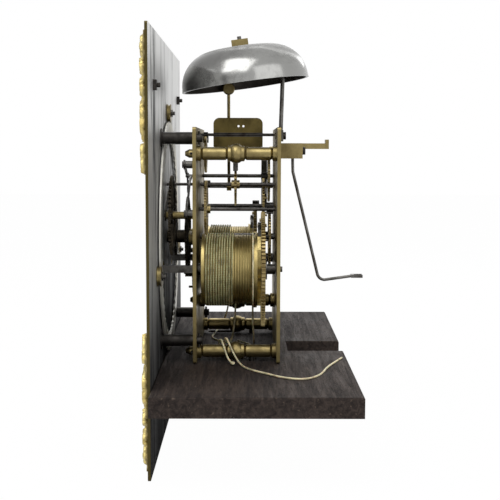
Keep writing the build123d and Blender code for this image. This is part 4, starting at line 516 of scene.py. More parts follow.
class ClockLines(bpy.types.PropertyGroup):
    gut: FloatVectorProperty(
        name="Gut", description="Colour of the lines", subtype="COLOR",
        min=0.0, max=1.0, default=(0.74, 0.66, 0.42),
    )
    line_radius: FloatProperty(
        name="Line radius", description="Half the line's thickness", unit="LENGTH",
        min=0.0004, max=0.0009, default=LINE_R * MM, precision=5,
    )
    lay: FloatProperty(
        name="Lay", description="Length of one twist of the strands", unit="LENGTH",
        min=0.002, max=0.02, default=0.0052, precision=4,
    )
    strand_depth: FloatProperty(
        name="Strand depth", description="How far the grooves between the strands cut in, as a share",
        subtype="FACTOR", min=0.0, max=0.3, default=0.1,
    )


class ClockDial(bpy.types.PropertyGroup):
    hour_height: FloatProperty(
        name="Hour figures", description="Height of the hour figures", unit="LENGTH",
        min=0.01, max=0.03, default=0.0205, precision=4,
    )
    minute_height: FloatProperty(
        name="Minute figures", description="Height of the minute figures", unit="LENGTH",
        min=0.003, max=0.01, default=0.0066, precision=4,
    )


class ClockStage(bpy.types.PropertyGroup):
    focal_length: FloatProperty(
        name="Focal length", description="Camera lens in millimetres", subtype="DISTANCE_CAMERA",
        min=20.0, max=200.0, default=71.38,
    )
    sky: FloatProperty(
        name="Sky", description="Strength of the even light from all round", min=0.0, max=2.0, default=0.5
    )
    key: FloatProperty(
        name="Key light", description="Power of the main lamp", subtype="POWER",
        min=0.0, max=200.0, default=9.0,
    )


# Which finish each solid of the movement gets

PLATES = ("front_plate", "back_plate", "back_cock", "hour_bridge")
ROLLERS = ("calendar_roller_top", "calendar_roller_right", "calendar_roller_left")
TURNINGS = ("pillars", "bell_nut", "hammer", *ROLLERS)
BARRELS = ("going_barrel", "strike_barrel")
WHEELS = ("going_great_wheel", "strike_great_wheel", "centre_wheel", "gathering_wheel", "warning_wheel")
ARBORED_WHEELS = (  # name, arbor, where its pinion starts and ends
    ("third_wheel", THIRD, 55.0, 61.5),
    ("escape_wheel", SECONDS, 5.0, 11.0),
    ("pin_wheel", PIN_ARBOR, 44.0, 51.0),
)
DATE_COLLAR = (-16.0, 0.0)
FLY_PINION = (4.0, 9.0)
MOTION_WHEELS = ("cannon_wheel", "reverse_wheel", "hour_wheel", "hour_pipe")
STEEL_PIECES = (
    "studs", "springs", "bell_stand", "going_click", "strike_click", "going_barrel_arbor",
    "strike_barrel_arbor", "centre_arbor", "anchor", "crutch", "gathering_arbor", "warning_arbor",
    "hammer_arbor", "rack", "rack_hook", "lifting_piece",
)
DARK_PIECES = ("seatboard_bolts", "pins_and_screws", "spandrel_screws", "dial_feet")
HANDS = ("hour_hand", "minute_hand", "seconds_hand")


class CLOCK_OT_finish_solids(bpy.types.Operator):
    """Give every solid of the movement its metal or wood"""

    bl_idname = "clock.finish_solids"
    bl_label = "Finish the solids"

    def execute(self, context):
        metals = context.scene.clock_metals
        plate, clean = metals.plate_brass[:], metals.wheel_brass[:]
        steel, ringing = metals.steel[:], metals.bell_metal[:]
        upright, drawn = (1.0, 1.0, 0.05), (1.0, 0.2, 1.0)
        turned, turned_drum = (0.1, 1.0, 0.1), (0.08, 1.0, 0.08)
        fly_arbor = (FLY, ARBOR_R, *FLY_PINION, ARBOR_STEEL)
        date_pipe = (DATE_ARBOR, DATE_PIPE_R, *DATE_COLLAR, PIPE_BRASS)
        for names, material in (
            (PLATES, old_metal("plate brass", plate, DULL_PLATE, TARNISH, 26.0, (0.3, 0.5), upright)),
            (TURNINGS, old_metal("turned brass", plate, DULL_TURNING, TARNISH, 60.0, (0.26, 0.46), turned)),
            (BARRELS, old_metal("barrel brass", *BARREL_BRASS, TARNISH, 45.0, (0.28, 0.42), turned_drum)),
            (WHEELS, self.wheel_metal("wheel brass", clean)),
            (MOTION_WHEELS, self.motion_metal("dark motion work")),
            (STEEL_PIECES, old_metal("old steel", steel, DULL_STEEL, RUST, 70.0, (0.28, 0.48), drawn)),
            (DARK_PIECES, old_metal("dark steel", *DARK_STEEL, RUST, 90.0, (0.36, 0.6))),
            (HANDS, old_metal("blued steel", *BLUED_STEEL, RUST, 60.0, (0.2, 0.34))),
            (("bell",), bell_metal("bell metal", ringing, BELL_TARNISH_AND_SHADE, BELL_INSIDE_SHADE, BELL_CENTRE)),
            (("dial_plate",), dial_sheet("dial sheet", DIAL_TIN_WITH_PAINTED_LIGHT, DIAL_BRASS)),
            (("dial_rings", "calendar_ring"), silvered("silvered brass", *SILVERING)),
            (("seatboard",), weathered_oak("weathered oak", *OAK)),
            (("date_wheel",), self.motion_metal("date wheel", date_pipe)),
            (("fly",), old_metal("fly brass", *FLY_BRASS, TARNISH, 40.0, (0.3, 0.46), arbor=fly_arbor)),
        ):
            for name in names:
                dress(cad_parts[name], material)
        for name, axis, near, far in ARBORED_WHEELS:
            title = name.replace("_", " ") + " brass"
            brass = self.wheel_metal(title, clean, (axis, ARBOR_R, near, far, ARBOR_STEEL))
            dress(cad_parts[name], brass)
        return {"FINISHED"}

    def wheel_metal(self, name, clean, arbor=None):
        plain = (1.0, 1.0, 1.0)
        return old_metal(name, clean, DULL_WHEEL, TARNISH, 50.0, (0.24, 0.42), plain, 0.00002, 0.66, arbor)

    def motion_metal(self, name, arbor=None):
        return old_metal(name, *DARK_BRASS, 60.0, (0.38, 0.58), arbor=arbor)


# Gut lines

TAIL_DEPTH = 44.8
TAIL_CLEAR = 0.37
TAIL_FIRST = 75.0
TAIL_STEP = 30.0
TAIL_CORNERS = 6
KNOT_AT = (75.6, 29.8, BOARD_TOP + 2.0)
KNOT_SIZE = 0.42
KNOT_LINE_R = 0.95 * LINE_R
KNOT_RINGS = 60
KNOT_SIDES = 8


def line_curve(name, route, radius, material):
    """One free line: a smooth spline with the route's points as its control points."""
    curve = bpy.data.curves.new(name, "CURVE")
    curve.dimensions = "3D"
    curve.bevel_depth = radius
    curve.bevel_resolution = 4
    curve.resolution_u = 8
    curve.use_fill_caps = True
    spline = curve.splines.new("NURBS")
    spline.points.add(len(route) - 1)
    for point, place in zip(spline.points, route):
        point.co = (*(Vector(place) * MM), 1.0)
    spline.order_u = 3
    spline.use_endpoint_u = True
    piece = link(name, curve)
    dress(piece, material)
    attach(piece, "frame")
    return piece


def trefoil(t):
    """A place on the knot's middle line."""
    return Vector((
        math.sin(t) + 2 * math.sin(2 * t),
        math.cos(t) - 2 * math.cos(2 * t),
        -1.3 * math.sin(3 * t),
    ))


def overhand_knot(name, material):
    """A small pulled-tight knot: a trefoil of the same line."""
    points, faces = [], []
    for n in range(KNOT_RINGS):
        t = FULL_TURN * n / KNOT_RINGS
        here = trefoil(t)
        ahead = (trefoil(t + 0.01) - here).normalized()
        out = ahead.cross(Vector((0.3, 0.2, 1.0))).normalized()
        up = ahead.cross(out)
        for k in range(KNOT_SIDES):
            turn = FULL_TURN * k / KNOT_SIDES
            side = (out * math.cos(turn) + up * math.sin(turn)) * KNOT_LINE_R
            points.append(Vector(KNOT_AT) + here * KNOT_SIZE + side)
            first, after = n * KNOT_SIDES, (n + 1) % KNOT_RINGS * KNOT_SIDES
            beside = (k + 1) % KNOT_SIDES
            faces.append((first + k, first + beside, after + beside, after + k))
    piece = mesh_piece(name, points, faces, material, "frame")
    smooth(piece)
    return piece


def going_line_route():
    x, y = GOING_BARREL[0] - WOUND_R, WINDING_FRONT + GOING_TURNS * GROOVE_PITCH + BESIDE
    return [
        (x, y, LINE_TOP),
        (x + 0.3, y - 0.2, LINE_TOP - 22.0),
        (x - 0.6, y - 1.0, LINE_TOP - 46.0),
        (10.0, 27.5, BOARD_TOP + 3.6),
        (20.0, 19.0, LINE_BED),
        (34.0, 17.0, LINE_BED),
        (45.0, 18.0, BOARD_TOP + 5.4),
        (51.5, 19.4, BOARD_TOP + 14.6),
        (61.0, 21.0, BOARD_TOP + 17.2),
        (68.4, 23.6, BOARD_TOP + 11.2),
        (71.4, 26.4, BOARD_TOP + 3.4),
        (75.0, 29.3, BOARD_TOP + 1.9),
    ]


def strike_line_route():
    x, y = STRIKE_BARREL[0] - WOUND_R, WINDING_FRONT + STRIKE_TURNS * GROOVE_PITCH + BESIDE
    return [
        (x, y, LINE_TOP),
        (x - 0.4, y - 1.2, LINE_TOP - 24.0),
        (x - 2.0, y - 4.5, LINE_TOP - 50.0),
        (-72.0, 19.0, BOARD_TOP + 7.0),
        (-66.0, 14.0, LINE_BED),
        (-50.0, 12.0, LINE_BED),
        (-32.0, 10.0, LINE_BED),
        (-16.0, 17.0, LINE_BED),
        (-6.0, 33.0, LINE_BED),
        (12.0, 40.0, LINE_BED),
        (30.0, 33.0, LINE_BED),
        (41.0, 25.0, LINE_BED),
        (47.6, 22.6, BOARD_TOP + 10.6),
        (55.0, 24.0, BOARD_TOP + 18.2),
        (64.6, 26.6, BOARD_TOP + 15.4),
        (69.6, 31.0, BOARD_TOP + 6.4),
        (78.0, 36.0, LINE_BED),
        (92.0, 42.6, LINE_BED),
        (105.7, 55.7, LINE_BED),
        (117.8, 66.3, LINE_BED),
        (122.8, 81.9, LINE_BED),
        (107.7, 93.4, LINE_BED),
        (84.0, 99.0, LINE_BED),
        (62.0, 108.2, LINE_BED),
        (49.5, 113.6, LINE_BED),
    ]


def going_tail_route():
    """Half round the drum on the corners of a polygon, then down to the board."""
    x, z = GOING_BARREL
    hang = WOUND_R + TAIL_CLEAR
    corner = hang / math.cos(math.radians(TAIL_STEP / 2))
    route = [(x - 1.0, TAIL_DEPTH, z + hang)]
    for n in range(TAIL_CORNERS):
        turn = math.radians(TAIL_FIRST - TAIL_STEP * n)
        route.append((x + corner * math.cos(turn), TAIL_DEPTH, z + corner * math.sin(turn)))
    return route + [
        (x - 7.0, TAIL_DEPTH, z - hang - 2.0),
        (x - 15.0, TAIL_DEPTH, z - hang - 14.0),
        (x - 19.0, TAIL_DEPTH + 1.0, BOARD_TOP + 12.0),
        (x - 29.0, TAIL_DEPTH + 1.0, LINE_BED),
        (x - 46.0, TAIL_DEPTH - 2.0, LINE_BED),
        (x - 60.0, TAIL_DEPTH - 12.0, LINE_BED),
    ]


class CLOCK_OT_lay_lines(bpy.types.Operator):
    """Lay the loose ends of the gut lines over the seatboard"""

    bl_idname = "clock.lay_lines"
    bl_label = "Lay the lines"

    def execute(self, context):
        lines = context.scene.clock_lines
        gut = gut_line("gut", lines.gut[:])
        knot = overhand_knot("going_line_knot", gut)
        for name, route, length, far_end, extra in (
            ("going_line", going_line_route(), 0.1451, "knot", [knot]),
            ("strike_line", strike_line_route(), 0.3894, "bare", []),
            ("going_line_tail", going_tail_route(), 0.1725, "bare", []),
        ):
            piece = line_curve(name + "_gut", route, lines.line_radius, gut)
            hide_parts(name)
        return {"FINISHED"}


POINTS_PER_TURN = 90.0
WANDER_SCALE = 1.3
WANDER = 0.35
SEED = 7.0
STRANDS = 3
PROFILE_POINTS = 12


class CLOCK_OT_wind_barrels(bpy.types.Operator):
    """Wind the gut lines on their barrels, turn by turn"""

    bl_idname = "clock.wind_barrels"
    bl_label = "Wind the barrels"

    def execute(self, context):
        lines = context.scene.clock_lines
        gut = gut_line("wound gut", tuple(share * part for share, part in zip(WOUND_GUT, lines.gut)))
        for name, body, axis, turns in (
            ("going_line", "going_barrel", GOING_BARREL, GOING_TURNS),
            ("strike_line", "strike_barrel", STRIKE_BARREL, STRIKE_TURNS),
        ):
            tree = Tree("winding of " + name, {
                "Turns": float(turns), "Pitch": GROOVE_PITCH * MM, "Wound radius": WOUND_R * MM,
                "Line radius": lines.line_radius, "Lay": lines.lay, "Strand depth": lines.strand_depth,
                "Across": axis[0] * MM, "Front": WINDING_FRONT * MM, "Up": axis[1] * MM,
                "Seed": SEED + turns, "Finish": gut,
            })
            piece = tree.make(self.winding(tree), name + "_wound_gut", body)
            smooth(piece)
            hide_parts(name + "_winding")
        return {"FINISHED"}

    def winding(self, tree):
        """A helix of twisted strands that wanders a little between its grooves."""
        radius, depth = tree.inlet("Wound radius"), tree.inlet("Strand depth")
        points = tree.inlet("Turns") * POINTS_PER_TURN
        straight = tree.node("GeometryNodeCurvePrimitiveLine")
        path = tree.node("GeometryNodeResampleCurve", None, {"Curve": straight, "Count": points})
        turned = tree.node("GeometryNodeSplineParameter") * tree.inlet("Turns")
        angle = turned * FULL_TURN
        shifted = {"W": turned + tree.inlet("Seed"), "Scale": WANDER_SCALE}
        wander = (tree.node("ShaderNodeTexNoise", {"noise_dimensions": "1D"}, shifted) - 0.5) * (WANDER * MM)
        place = tree.spot(
            tree.inlet("Across") - tree.math("COSINE", angle) * radius,
            tree.inlet("Front") + turned * tree.inlet("Pitch") + wander,
            tree.inlet("Up") - tree.math("SINE", angle) * radius,
        )
        path = tree.node("GeometryNodeSetPosition", None, {"Geometry": path, "Position": place})
        twist = angle * radius / tree.inlet("Lay") * FULL_TURN
        path = tree.node("GeometryNodeSetCurveTilt", None, {"Curve": path, "Tilt": twist})
        circle = {"Resolution": PROFILE_POINTS, "Radius": 1.0}
        ring = tree.node("GeometryNodeCurvePrimitiveCircle", None, circle)
        around = tree.node("GeometryNodeInputIndex") * (FULL_TURN * STRANDS / PROFILE_POINTS)
        size = (1.0 - depth + tree.math("COSINE", around) * depth) * tree.inlet("Line radius")
        scaled = {0: tree.node("GeometryNodeInputPosition"), "Scale": size}
        spot = tree.node("ShaderNodeVectorMath", {"operation": "SCALE"}, scaled)
        ring = tree.node("GeometryNodeSetPosition", None, {"Geometry": ring, "Position": spot})
        tube = {"Curve": path, "Profile Curve": ring, "Fill Caps": True}
        return tree.node("GeometryNodeCurveToMesh", None, tube)


# Dial figures

HOUR_FIGURES = ("XII", "I", "II", "III", "IIII", "V", "VI", "VII", "VIII", "IX", "X", "XI")
LETTER_WIDTHS = {"I": 0.27, "V": 0.62, "X": 0.62}
THICK_STROKE = 0.15
THIN_STROKE = 0.045
SERIF = 0.05
WAX_RISE = 0.04
RING_EDGE = 136.9
MINUTE_R = 133.0
MINUTE_TRACK = (129.2, 124.6)
HOUR_R = 113.2
QUARTER_TRACK = (102.0, 98.6)
CIRCLE_STEPS = 240
SECOND_EDGE = 28.2
SECOND_TRACK = (28.1, 25.5)
SECOND_INNER = (25.4, 19.5)
SECOND_FIGURE_R = 22.4
SECOND_FIGURE_HIGH = 3.4
DAY_R = 86.6
DAY_HIGH = 5.0
DAYS = 31
MINUTE_SHRINK = 0.8
TEXT_PER_HEIGHT = 1.38
HOLE_RING_R = 7.4
HOLE_RING_STEP = 1.9
HOLE_RING_BEAD = 0.55


def stroke(low, high, width):
    """A straight stroke from foot to head, with level ends."""
    return [
        (low[0] - width / 2, low[1]), (low[0] + width / 2, low[1]),
        (high[0] + width / 2, high[1]), (high[0] - width / 2, high[1]),
    ]


def serif(across, up, width):
    return stroke((across, up - SERIF / 2), (across, up + SERIF / 2), width)


def roman(figure):
    """The strokes of an hour figure, one unit high, about its middle."""
    across = -sum(LETTER_WIDTHS[letter] for letter in figure) / 2
    top, foot = 0.5 - SERIF / 2, -0.5 + SERIF / 2
    strokes = []
    for letter in figure:
        middle = across + LETTER_WIDTHS[letter] / 2
        across += LETTER_WIDTHS[letter]
        if letter == "I":
            strokes.append(stroke((middle, -0.5), (middle, 0.5), THICK_STROKE))
            strokes += [serif(middle, top, 0.25), serif(middle, foot, 0.25)]
        elif letter == "V":
            strokes.append(stroke((middle, -0.5), (middle - 0.21, 0.5), THICK_STROKE))
            strokes.append(stroke((middle + 0.02, -0.5), (middle + 0.22, 0.5), THIN_STROKE))
            strokes += [serif(middle - 0.2, top, 0.26), serif(middle + 0.21, top, 0.2)]
        else:
            strokes.append(stroke((middle + 0.2, -0.5), (middle - 0.2, 0.5), THICK_STROKE))
            strokes.append(stroke((middle - 0.21, -0.5), (middle + 0.21, 0.5), THIN_STROKE))
            for side in (-0.2, 0.2):
                strokes += [serif(middle + side, top, 0.24), serif(middle + side, foot, 0.24)]
    return strokes


def on_dial(centre, face, radius, angle):
    """A place on one of the dial's rings, a hair in front of its face."""
    return (centre[0] + radius * math.sin(angle), face - WAX_RISE, centre[1] + radius * math.cos(angle))


def hour_figures(height, material):
    """The twelve hour figures, bent to the chapter ring, with their feet to the centre."""
    points, faces = [], []
    for hour, figure in enumerate(HOUR_FIGURES):
        turn = FULL_TURN * hour / len(HOUR_FIGURES)
        for shape in roman(figure):
            faces.append(tuple(range(len(points), len(points) + len(shape))))
            for across, up in shape:
                angle = turn + across * height / HOUR_R
                points.append(on_dial(CENTRE, RING_FACE, HOUR_R + up * height, angle))
    return mesh_piece("hour_figures", points, faces, material, "frame")


def ring_lines(name, centre, face, radii, width, material):
    """Thin engraved circles."""
    points, faces = [], []
    for radius in radii:
        first = len(points)
        for n in range(CIRCLE_STEPS):
            angle = FULL_TURN * n / CIRCLE_STEPS
            points += [on_dial(centre, face, radius + side * width / 2, angle) for side in (-1, 1)]
            a, b = first + 2 * n, first + 2 * ((n + 1) % CIRCLE_STEPS)
            faces.append((a, b, b + 1, a + 1))
    return mesh_piece(name, points, faces, material, "frame")


def marks(name, count, track, width, centre, material, start=0.0, tilt=0.0):
    """Strokes or diamonds set evenly round a circle, between the two radii of a track."""
    tree = Tree(name, {
        "Count": count, "Radius": sum(track) / 2 * MM, "Length": abs(track[0] - track[1]) * MM,
        "Width": width * MM, "Across": centre[0] * MM, "Face": (RING_FACE - WAX_RISE) * MM,
        "Up": centre[1] * MM, "Start": math.radians(start), "Tilt": math.radians(tilt), "Finish": material,
    })
    turn = tree.node("GeometryNodeInputIndex") * FULL_TURN / tree.inlet("Count") + tree.inlet("Start")
    spot = tree.spot(
        tree.math("SINE", turn) * tree.inlet("Radius") + tree.inlet("Across"),
        tree.inlet("Face"),
        tree.math("COSINE", turn) * tree.inlet("Radius") + tree.inlet("Up"),
    )
    places = tree.node("GeometryNodePoints", None, {"Count": tree.inlet("Count"), "Position": spot})
    mark = tree.node("GeometryNodeMeshGrid", None, {
        "Size X": tree.inlet("Width"), "Size Y": tree.inlet("Length"), "Vertices X": 2, "Vertices Y": 2,
    })
    lean = tree.spot(0.0, 0.0, tree.inlet("Tilt"))
    mark = tree.node("GeometryNodeTransform", None, {"Geometry": mark, "Rotation": lean})
    rows = tree.instances(places, mark, Rotation=tree.spot(SQUARE_TURN, turn, 0.0))
    return tree.make(rows, name, "frame")


def figures_round(name, words, radius, height, centre, face, material, body="frame", start=0.0, head=1):
    """Small numbers round a circle, in one mesh; head is 1 where they stand outwards, -1 inwards."""
    points, faces = [], []
    for n, word in enumerate(words):
        text = bpy.data.curves.new(name, "FONT")
        text.body = word
        text.size = TEXT_PER_HEIGHT * height
        text.align_x = "CENTER"
        text.align_y = "CENTER"
        text.resolution_u = 2
        shown = link(name, text)
        graph = bpy.context.evaluated_depsgraph_get()
        flat = bpy.data.meshes.new_from_object(shown.evaluated_get(graph))
        turn = start + FULL_TURN * n / len(words)
        first = len(points)
        for vertex in flat.vertices:
            across, up = head * vertex.co.x, head * vertex.co.y
            x, y, z = on_dial(centre, face, radius + up, turn)
            points.append((x + across * math.cos(turn), y, z - across * math.sin(turn)))
        faces += [tuple(first + corner for corner in shape.vertices) for shape in flat.polygons]
        bpy.data.objects.remove(shown)
        bpy.data.meshes.remove(flat)
    return mesh_piece(name, points, faces, material, body)


class CLOCK_OT_figure_dial(bpy.types.Operator):
    """Engrave the chapter ring, the seconds ring and the calendar ring"""

    bl_idname = "clock.figure_dial"
    bl_label = "Figure the dial"

    def execute(self, context):
        sizes = context.scene.clock_dial
        wax = black_wax("black wax", BLACK_WAX, 0.5)
        hour_figures(sizes.hour_height / MM, wax)
        minutes = ["60"] + [str(n) for n in range(5, 60, 5)]
        minute_height = sizes.minute_height / MM * MINUTE_SHRINK
        figures_round("minute_figures", minutes, MINUTE_R, minute_height, CENTRE, RING_FACE, wax)
        marks("minute_marks", 60, MINUTE_TRACK, 0.5, CENTRE, wax)
        marks("five_minute_marks", 12, MINUTE_TRACK, 1.3, CENTRE, wax)
        marks("quarter_marks", 48, QUARTER_TRACK, 0.45, CENTRE, wax)
        marks("half_hour_diamonds", 12, (HOUR_R - 1.1, HOUR_R + 3.1), 4.2, CENTRE, wax, start=15.0, tilt=45.0)
        marks("half_hour_stems", 12, (HOUR_R - 8.5, HOUR_R - 1.5), 0.9, CENTRE, wax, start=15.0)
        ring_lines("chapter_lines", CENTRE, RING_FACE, (RING_EDGE, *MINUTE_TRACK, *QUARTER_TRACK), 0.35, wax)
        marks("second_marks", 60, SECOND_TRACK, 0.35, SECONDS, wax)
        seconds = ["60", "10", "20", "30", "40", "50"]
        figures_round("second_figures", seconds, SECOND_FIGURE_R, SECOND_FIGURE_HIGH, SECONDS, RING_FACE, wax)
        ring_lines("second_lines", SECONDS, RING_FACE, (SECOND_EDGE, *SECOND_INNER), 0.3, wax)
        days = [str(n + 1) for n in range(DAYS)]
        figures_round(
            "calendar_figures", days, DAY_R, DAY_HIGH, CENTRE, CALENDAR_FACE, wax, "calendar",
            start=FULL_TURN / 2, head=-1,
        )
        self.hole_rings(old_metal("turned rings", *RING_BRASS, 60.0, (0.26, 0.4)))
        return {"FINISHED"}

    def hole_rings(self, brass):
        """Three turned rings about each winding hole."""
        tree = Tree("winding hole rings", {
            "Radius": HOLE_RING_R * MM, "Step": HOLE_RING_STEP * MM, "Bead": HOLE_RING_BEAD * MM,
            "Apart": 2 * GOING_BARREL[0] * MM, "Face": DIAL_FACE * MM, "Up": GOING_BARREL[1] * MM,
            "Finish": brass,
        })
        index = tree.node("GeometryNodeInputIndex")
        side = tree.math("MODULO", index, 2.0) - 0.5
        row = tree.math("FLOOR", index / 2.0)
        spot = tree.spot(side * tree.inlet("Apart"), tree.inlet("Face"), tree.inlet("Up"))
        places = tree.node("GeometryNodePoints", None, {"Count": 6, "Position": spot})
        scale = (tree.inlet("Radius") + row * tree.inlet("Step")) / tree.inlet("Radius")
        size = tree.spot(scale, scale, 1.0)
        circle = "GeometryNodeCurvePrimitiveCircle"
        ring = tree.node(circle, None, {"Resolution": 72, "Radius": tree.inlet("Radius")})
        bead = tree.node(circle, None, {"Resolution": 10, "Radius": tree.inlet("Bead")})
        tube = tree.node("GeometryNodeCurveToMesh", None, {"Curve": ring, "Profile Curve": bead})
        rows = tree.instances(places, tube, Rotation=tree.spot(SQUARE_TURN, 0.0, 0.0), Scale=size)
        smooth(tree.make(rows, "winding_hole_rings", "frame"))


# Spandrels

CAST_FROM = 53.5
CAST_CELLS = 94
CAST_GROUND = 1.3
CAST_THICK = 4.6
CAST_RELIEF = CAST_THICK - CAST_GROUND - 0.1
CAST_RING_R = 141.0
CAST_EDGE = 145.2
EASINGS = 2
LOBE_DEPTH = 2.2
LOBE_PITCH = 7.5
BOSS_AT = 114.0
BOSS_R = 4.0
BEAD_R = 0.85
BEAD_ROW_R = 143.4
BEAD_ROW = (24.5, 65.5)
BEADS = 34
EYE = 0.42
SCROLL_REACH = 1.75
VEIN = 0.16
VEIN_HEIGHT = 0.62
SCROLLS = (  # along the edge, across it, radius of the eye, first angle
    (90.0, 134.0, 3.6, 200.0),
    (103.0, 138.0, 3.0, 20.0),
    (101.0, 127.0, 2.4, 110.0),
    (117.0, 136.0, 3.6, 250.0),
    (127.0, 127.0, 3.4, 45.0),
    (78.0, 138.5, 2.6, 160.0),
)
LEAVES = (  # along, across, length, direction
    (60.0, 140.0, 12.0, 188.0),
    (69.0, 143.0, 11.0, 172.0),
    (84.0, 143.0, 12.0, 200.0),
    (96.0, 143.2, 12.0, 165.0),
    (94.0, 127.0, 11.0, 300.0),
    (110.0, 128.5, 13.0, 250.0),
    (110.5, 143.0, 12.0, 190.0),
    (124.0, 143.0, 12.0, 205.0),
    (107.0, 117.5, 11.0, 235.0),
    (134.0, 138.0, 12.0, 215.0),
    (137.0, 143.5, 8.0, 150.0),
)
CORNERS = ((-1, -1), (-1, 1), (1, -1), (1, 1))


def leaf_rise(u, v, leaf):
    """How far a leaf stands up at a place, from 0 to 1: a bent almond with a sunk vein."""
    along, across, length, direction = leaf
    way = math.radians(direction)
    du, dv = (u - along) / length, (v - across) / length
    t = du * math.cos(way) + dv * math.sin(way)
    if abs(t) >= 0.5:
        return 0.0
    s = dv * math.cos(way) - du * math.sin(way) - 0.35 * t * t
    wide = 0.62 * math.sqrt(0.25 - t * t) * (1.0 - 1.1 * t)
    if abs(s) >= wide:
        return 0.0
    round_top = math.sqrt(1.0 - (s / wide) ** 2)
    return round_top * (VEIN_HEIGHT if abs(s) < VEIN * wide else 1.0)


def scroll_rise(u, v, scroll):
    """How far a scroll stands up, from 0 to 1, or below nothing at its pierced eye."""
    along, across, radius, direction = scroll
    du, dv = u - along, v - across
    out = math.hypot(du, dv) / radius
    if out < EYE:
        return -1.0
    if out > SCROLL_REACH:
        return 0.0
    turn = math.atan2(dv, du) - math.radians(direction)
    return (0.5 + 0.5 * math.cos(FULL_TURN * out - turn)) * (1.0 - 0.3 * out)


def cast_rise(u, v):
    """Height of a corner casting in millimetres, or nothing outside it."""
    if math.hypot(u, v) < CAST_RING_R:
        return None
    for a, b in ((u, v), (v, u)):
        if b > CAST_EDGE + LOBE_DEPTH * abs(math.sin(math.pi * a / LOBE_PITCH)):
            return None
    if math.hypot(u - BOSS_AT, v - BOSS_AT) < BOSS_R:
        return CAST_THICK
    high = 0.0
    for a, b in ((u, v), (v, u)):
        for scroll in SCROLLS:
            here = scroll_rise(a, b, scroll)
            if here < 0.0:
                return None
            high = max(high, here)
        high = max([high] + [leaf_rise(a, b, leaf) for leaf in LEAVES])
    return CAST_GROUND + CAST_RELIEF * high


def cast_cells():
    """The squares of one corner that are filled, with none that meet only at a corner."""
    spots = range(CAST_CELLS)
    kept = {
        (i, j) for i in spots for j in spots
        if cast_rise(CAST_FROM + i + 0.5, CAST_FROM + j + 0.5) is not None
    }
    changed = True
    while changed:
        changed = False
        for i, j in list(kept):
            for di in (-1, 1):
                if (i + di, j + 1) in kept and (i + di, j) not in kept and (i, j + 1) not in kept:
                    kept.add((i + di, j))
                    changed = True
    return kept


def cell_ring(i, j):
    return ((i, j), (i + 1, j), (i + 1, j + 1), (i, j + 1))


def rounded_places(spots, edges):
    """Where the squares' corners lie once the outline's steps are eased into curves."""
    place = {spot: Vector((CAST_FROM + spot[0], CAST_FROM + spot[1])) for spot in spots}
    for _ in range(EASINGS):
        pull = {}
        for p, q in edges:
            pull.setdefault(p, []).append(place[q])
            pull.setdefault(q, []).append(place[p])
        for spot, others in pull.items():
            mean = sum(others, Vector((0.0, 0.0))) / len(others)
            place[spot] = place[spot] * 0.5 + mean * 0.5
    return place


def corner_castings(material):
    """The four pierced castings, each a closed shape with leaves and scrolls raised on its front."""
    kept = cast_cells()
    spots = sorted({spot for i, j in kept for spot in cell_ring(i, j)})
    count = len(spots)
    number = {spot: n for n, spot in enumerate(spots)}
    edges = []
    for i, j in kept:
        ring = cell_ring(i, j)
        for n, (di, dj) in enumerate(((0, -1), (1, 0), (0, 1), (-1, 0))):
            if (i + di, j + dj) not in kept:
                edges.append((ring[n], ring[(n + 1) % 4]))
    place = rounded_places(spots, edges)
    rise = [cast_rise(*place[spot]) or CAST_GROUND for spot in spots]
    points, faces, heights = [], [], []
    for sx, sz in CORNERS:
        first = len(points)
        for rises in (rise, [0.0] * count):
            for spot, out in zip(spots, rises):
                u, v = place[spot]
                points.append((CENTRE[0] + sx * u, DIAL_FACE - out, CENTRE[1] + sz * v))
                heights.append(out / CAST_THICK)
        corner = []
        for i, j in sorted(kept):
            ring = [first + number[spot] for spot in cell_ring(i, j)]
            corner += [tuple(ring), tuple(n + count for n in reversed(ring))]
        for p, q in edges:
            a, b = first + number[p], first + number[q]
            corner.append((b, a, a + count, b + count))
        faces += corner if sx == sz else [tuple(reversed(face)) for face in corner]
    piece = mesh_piece("spandrel_castings", points, faces, material, "frame")
    height = piece.data.attributes.new("height", "FLOAT", "POINT")
    height.data.foreach_set("value", heights)
    smooth(piece)
    return piece


class CLOCK_OT_carve_spandrels(bpy.types.Operator):
    """Set the four pierced castings and their rows of beads"""

    bl_idname = "clock.carve_spandrels"
    bl_label = "Carve the spandrels"

    def execute(self, context):
        gilt = gilded("carved gilt", context.scene.clock_metals.gilt[:], GILT_DULL, GILT_RECESS_GRIME_AND_SHADE)
        castings = corner_castings(gilt)
        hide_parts("spandrels")
        self.beads(gilt)
        return {"FINISHED"}

    def beads(self, gilt):
        """A row of beads along each casting's inner edge."""
        places = []
        for sx, sz in CORNERS:
            for n in range(BEADS):
                way = math.radians(BEAD_ROW[0] + (BEAD_ROW[1] - BEAD_ROW[0]) * n / (BEADS - 1))
                x = CENTRE[0] + sx * BEAD_ROW_R * math.cos(way)
                z = CENTRE[1] + sz * BEAD_ROW_R * math.sin(way)
                places.append((x * MM, (DIAL_FACE - CAST_GROUND) * MM, z * MM))
        mesh = bpy.data.meshes.new("spandrel_beads")
        mesh.from_pydata(places, [], [])
        tree = Tree("spandrel beads", {"Bead": BEAD_R * MM, "Finish": gilt})
        ball = {"Segments": 10, "Rings": 6, "Radius": tree.inlet("Bead")}
        row = tree.instances(tree.inlet("Geometry"), tree.node("GeometryNodeMeshUVSphere", None, ball))
        smooth(tree.make(row, "spandrel_beads", "frame", mesh))


# Stage

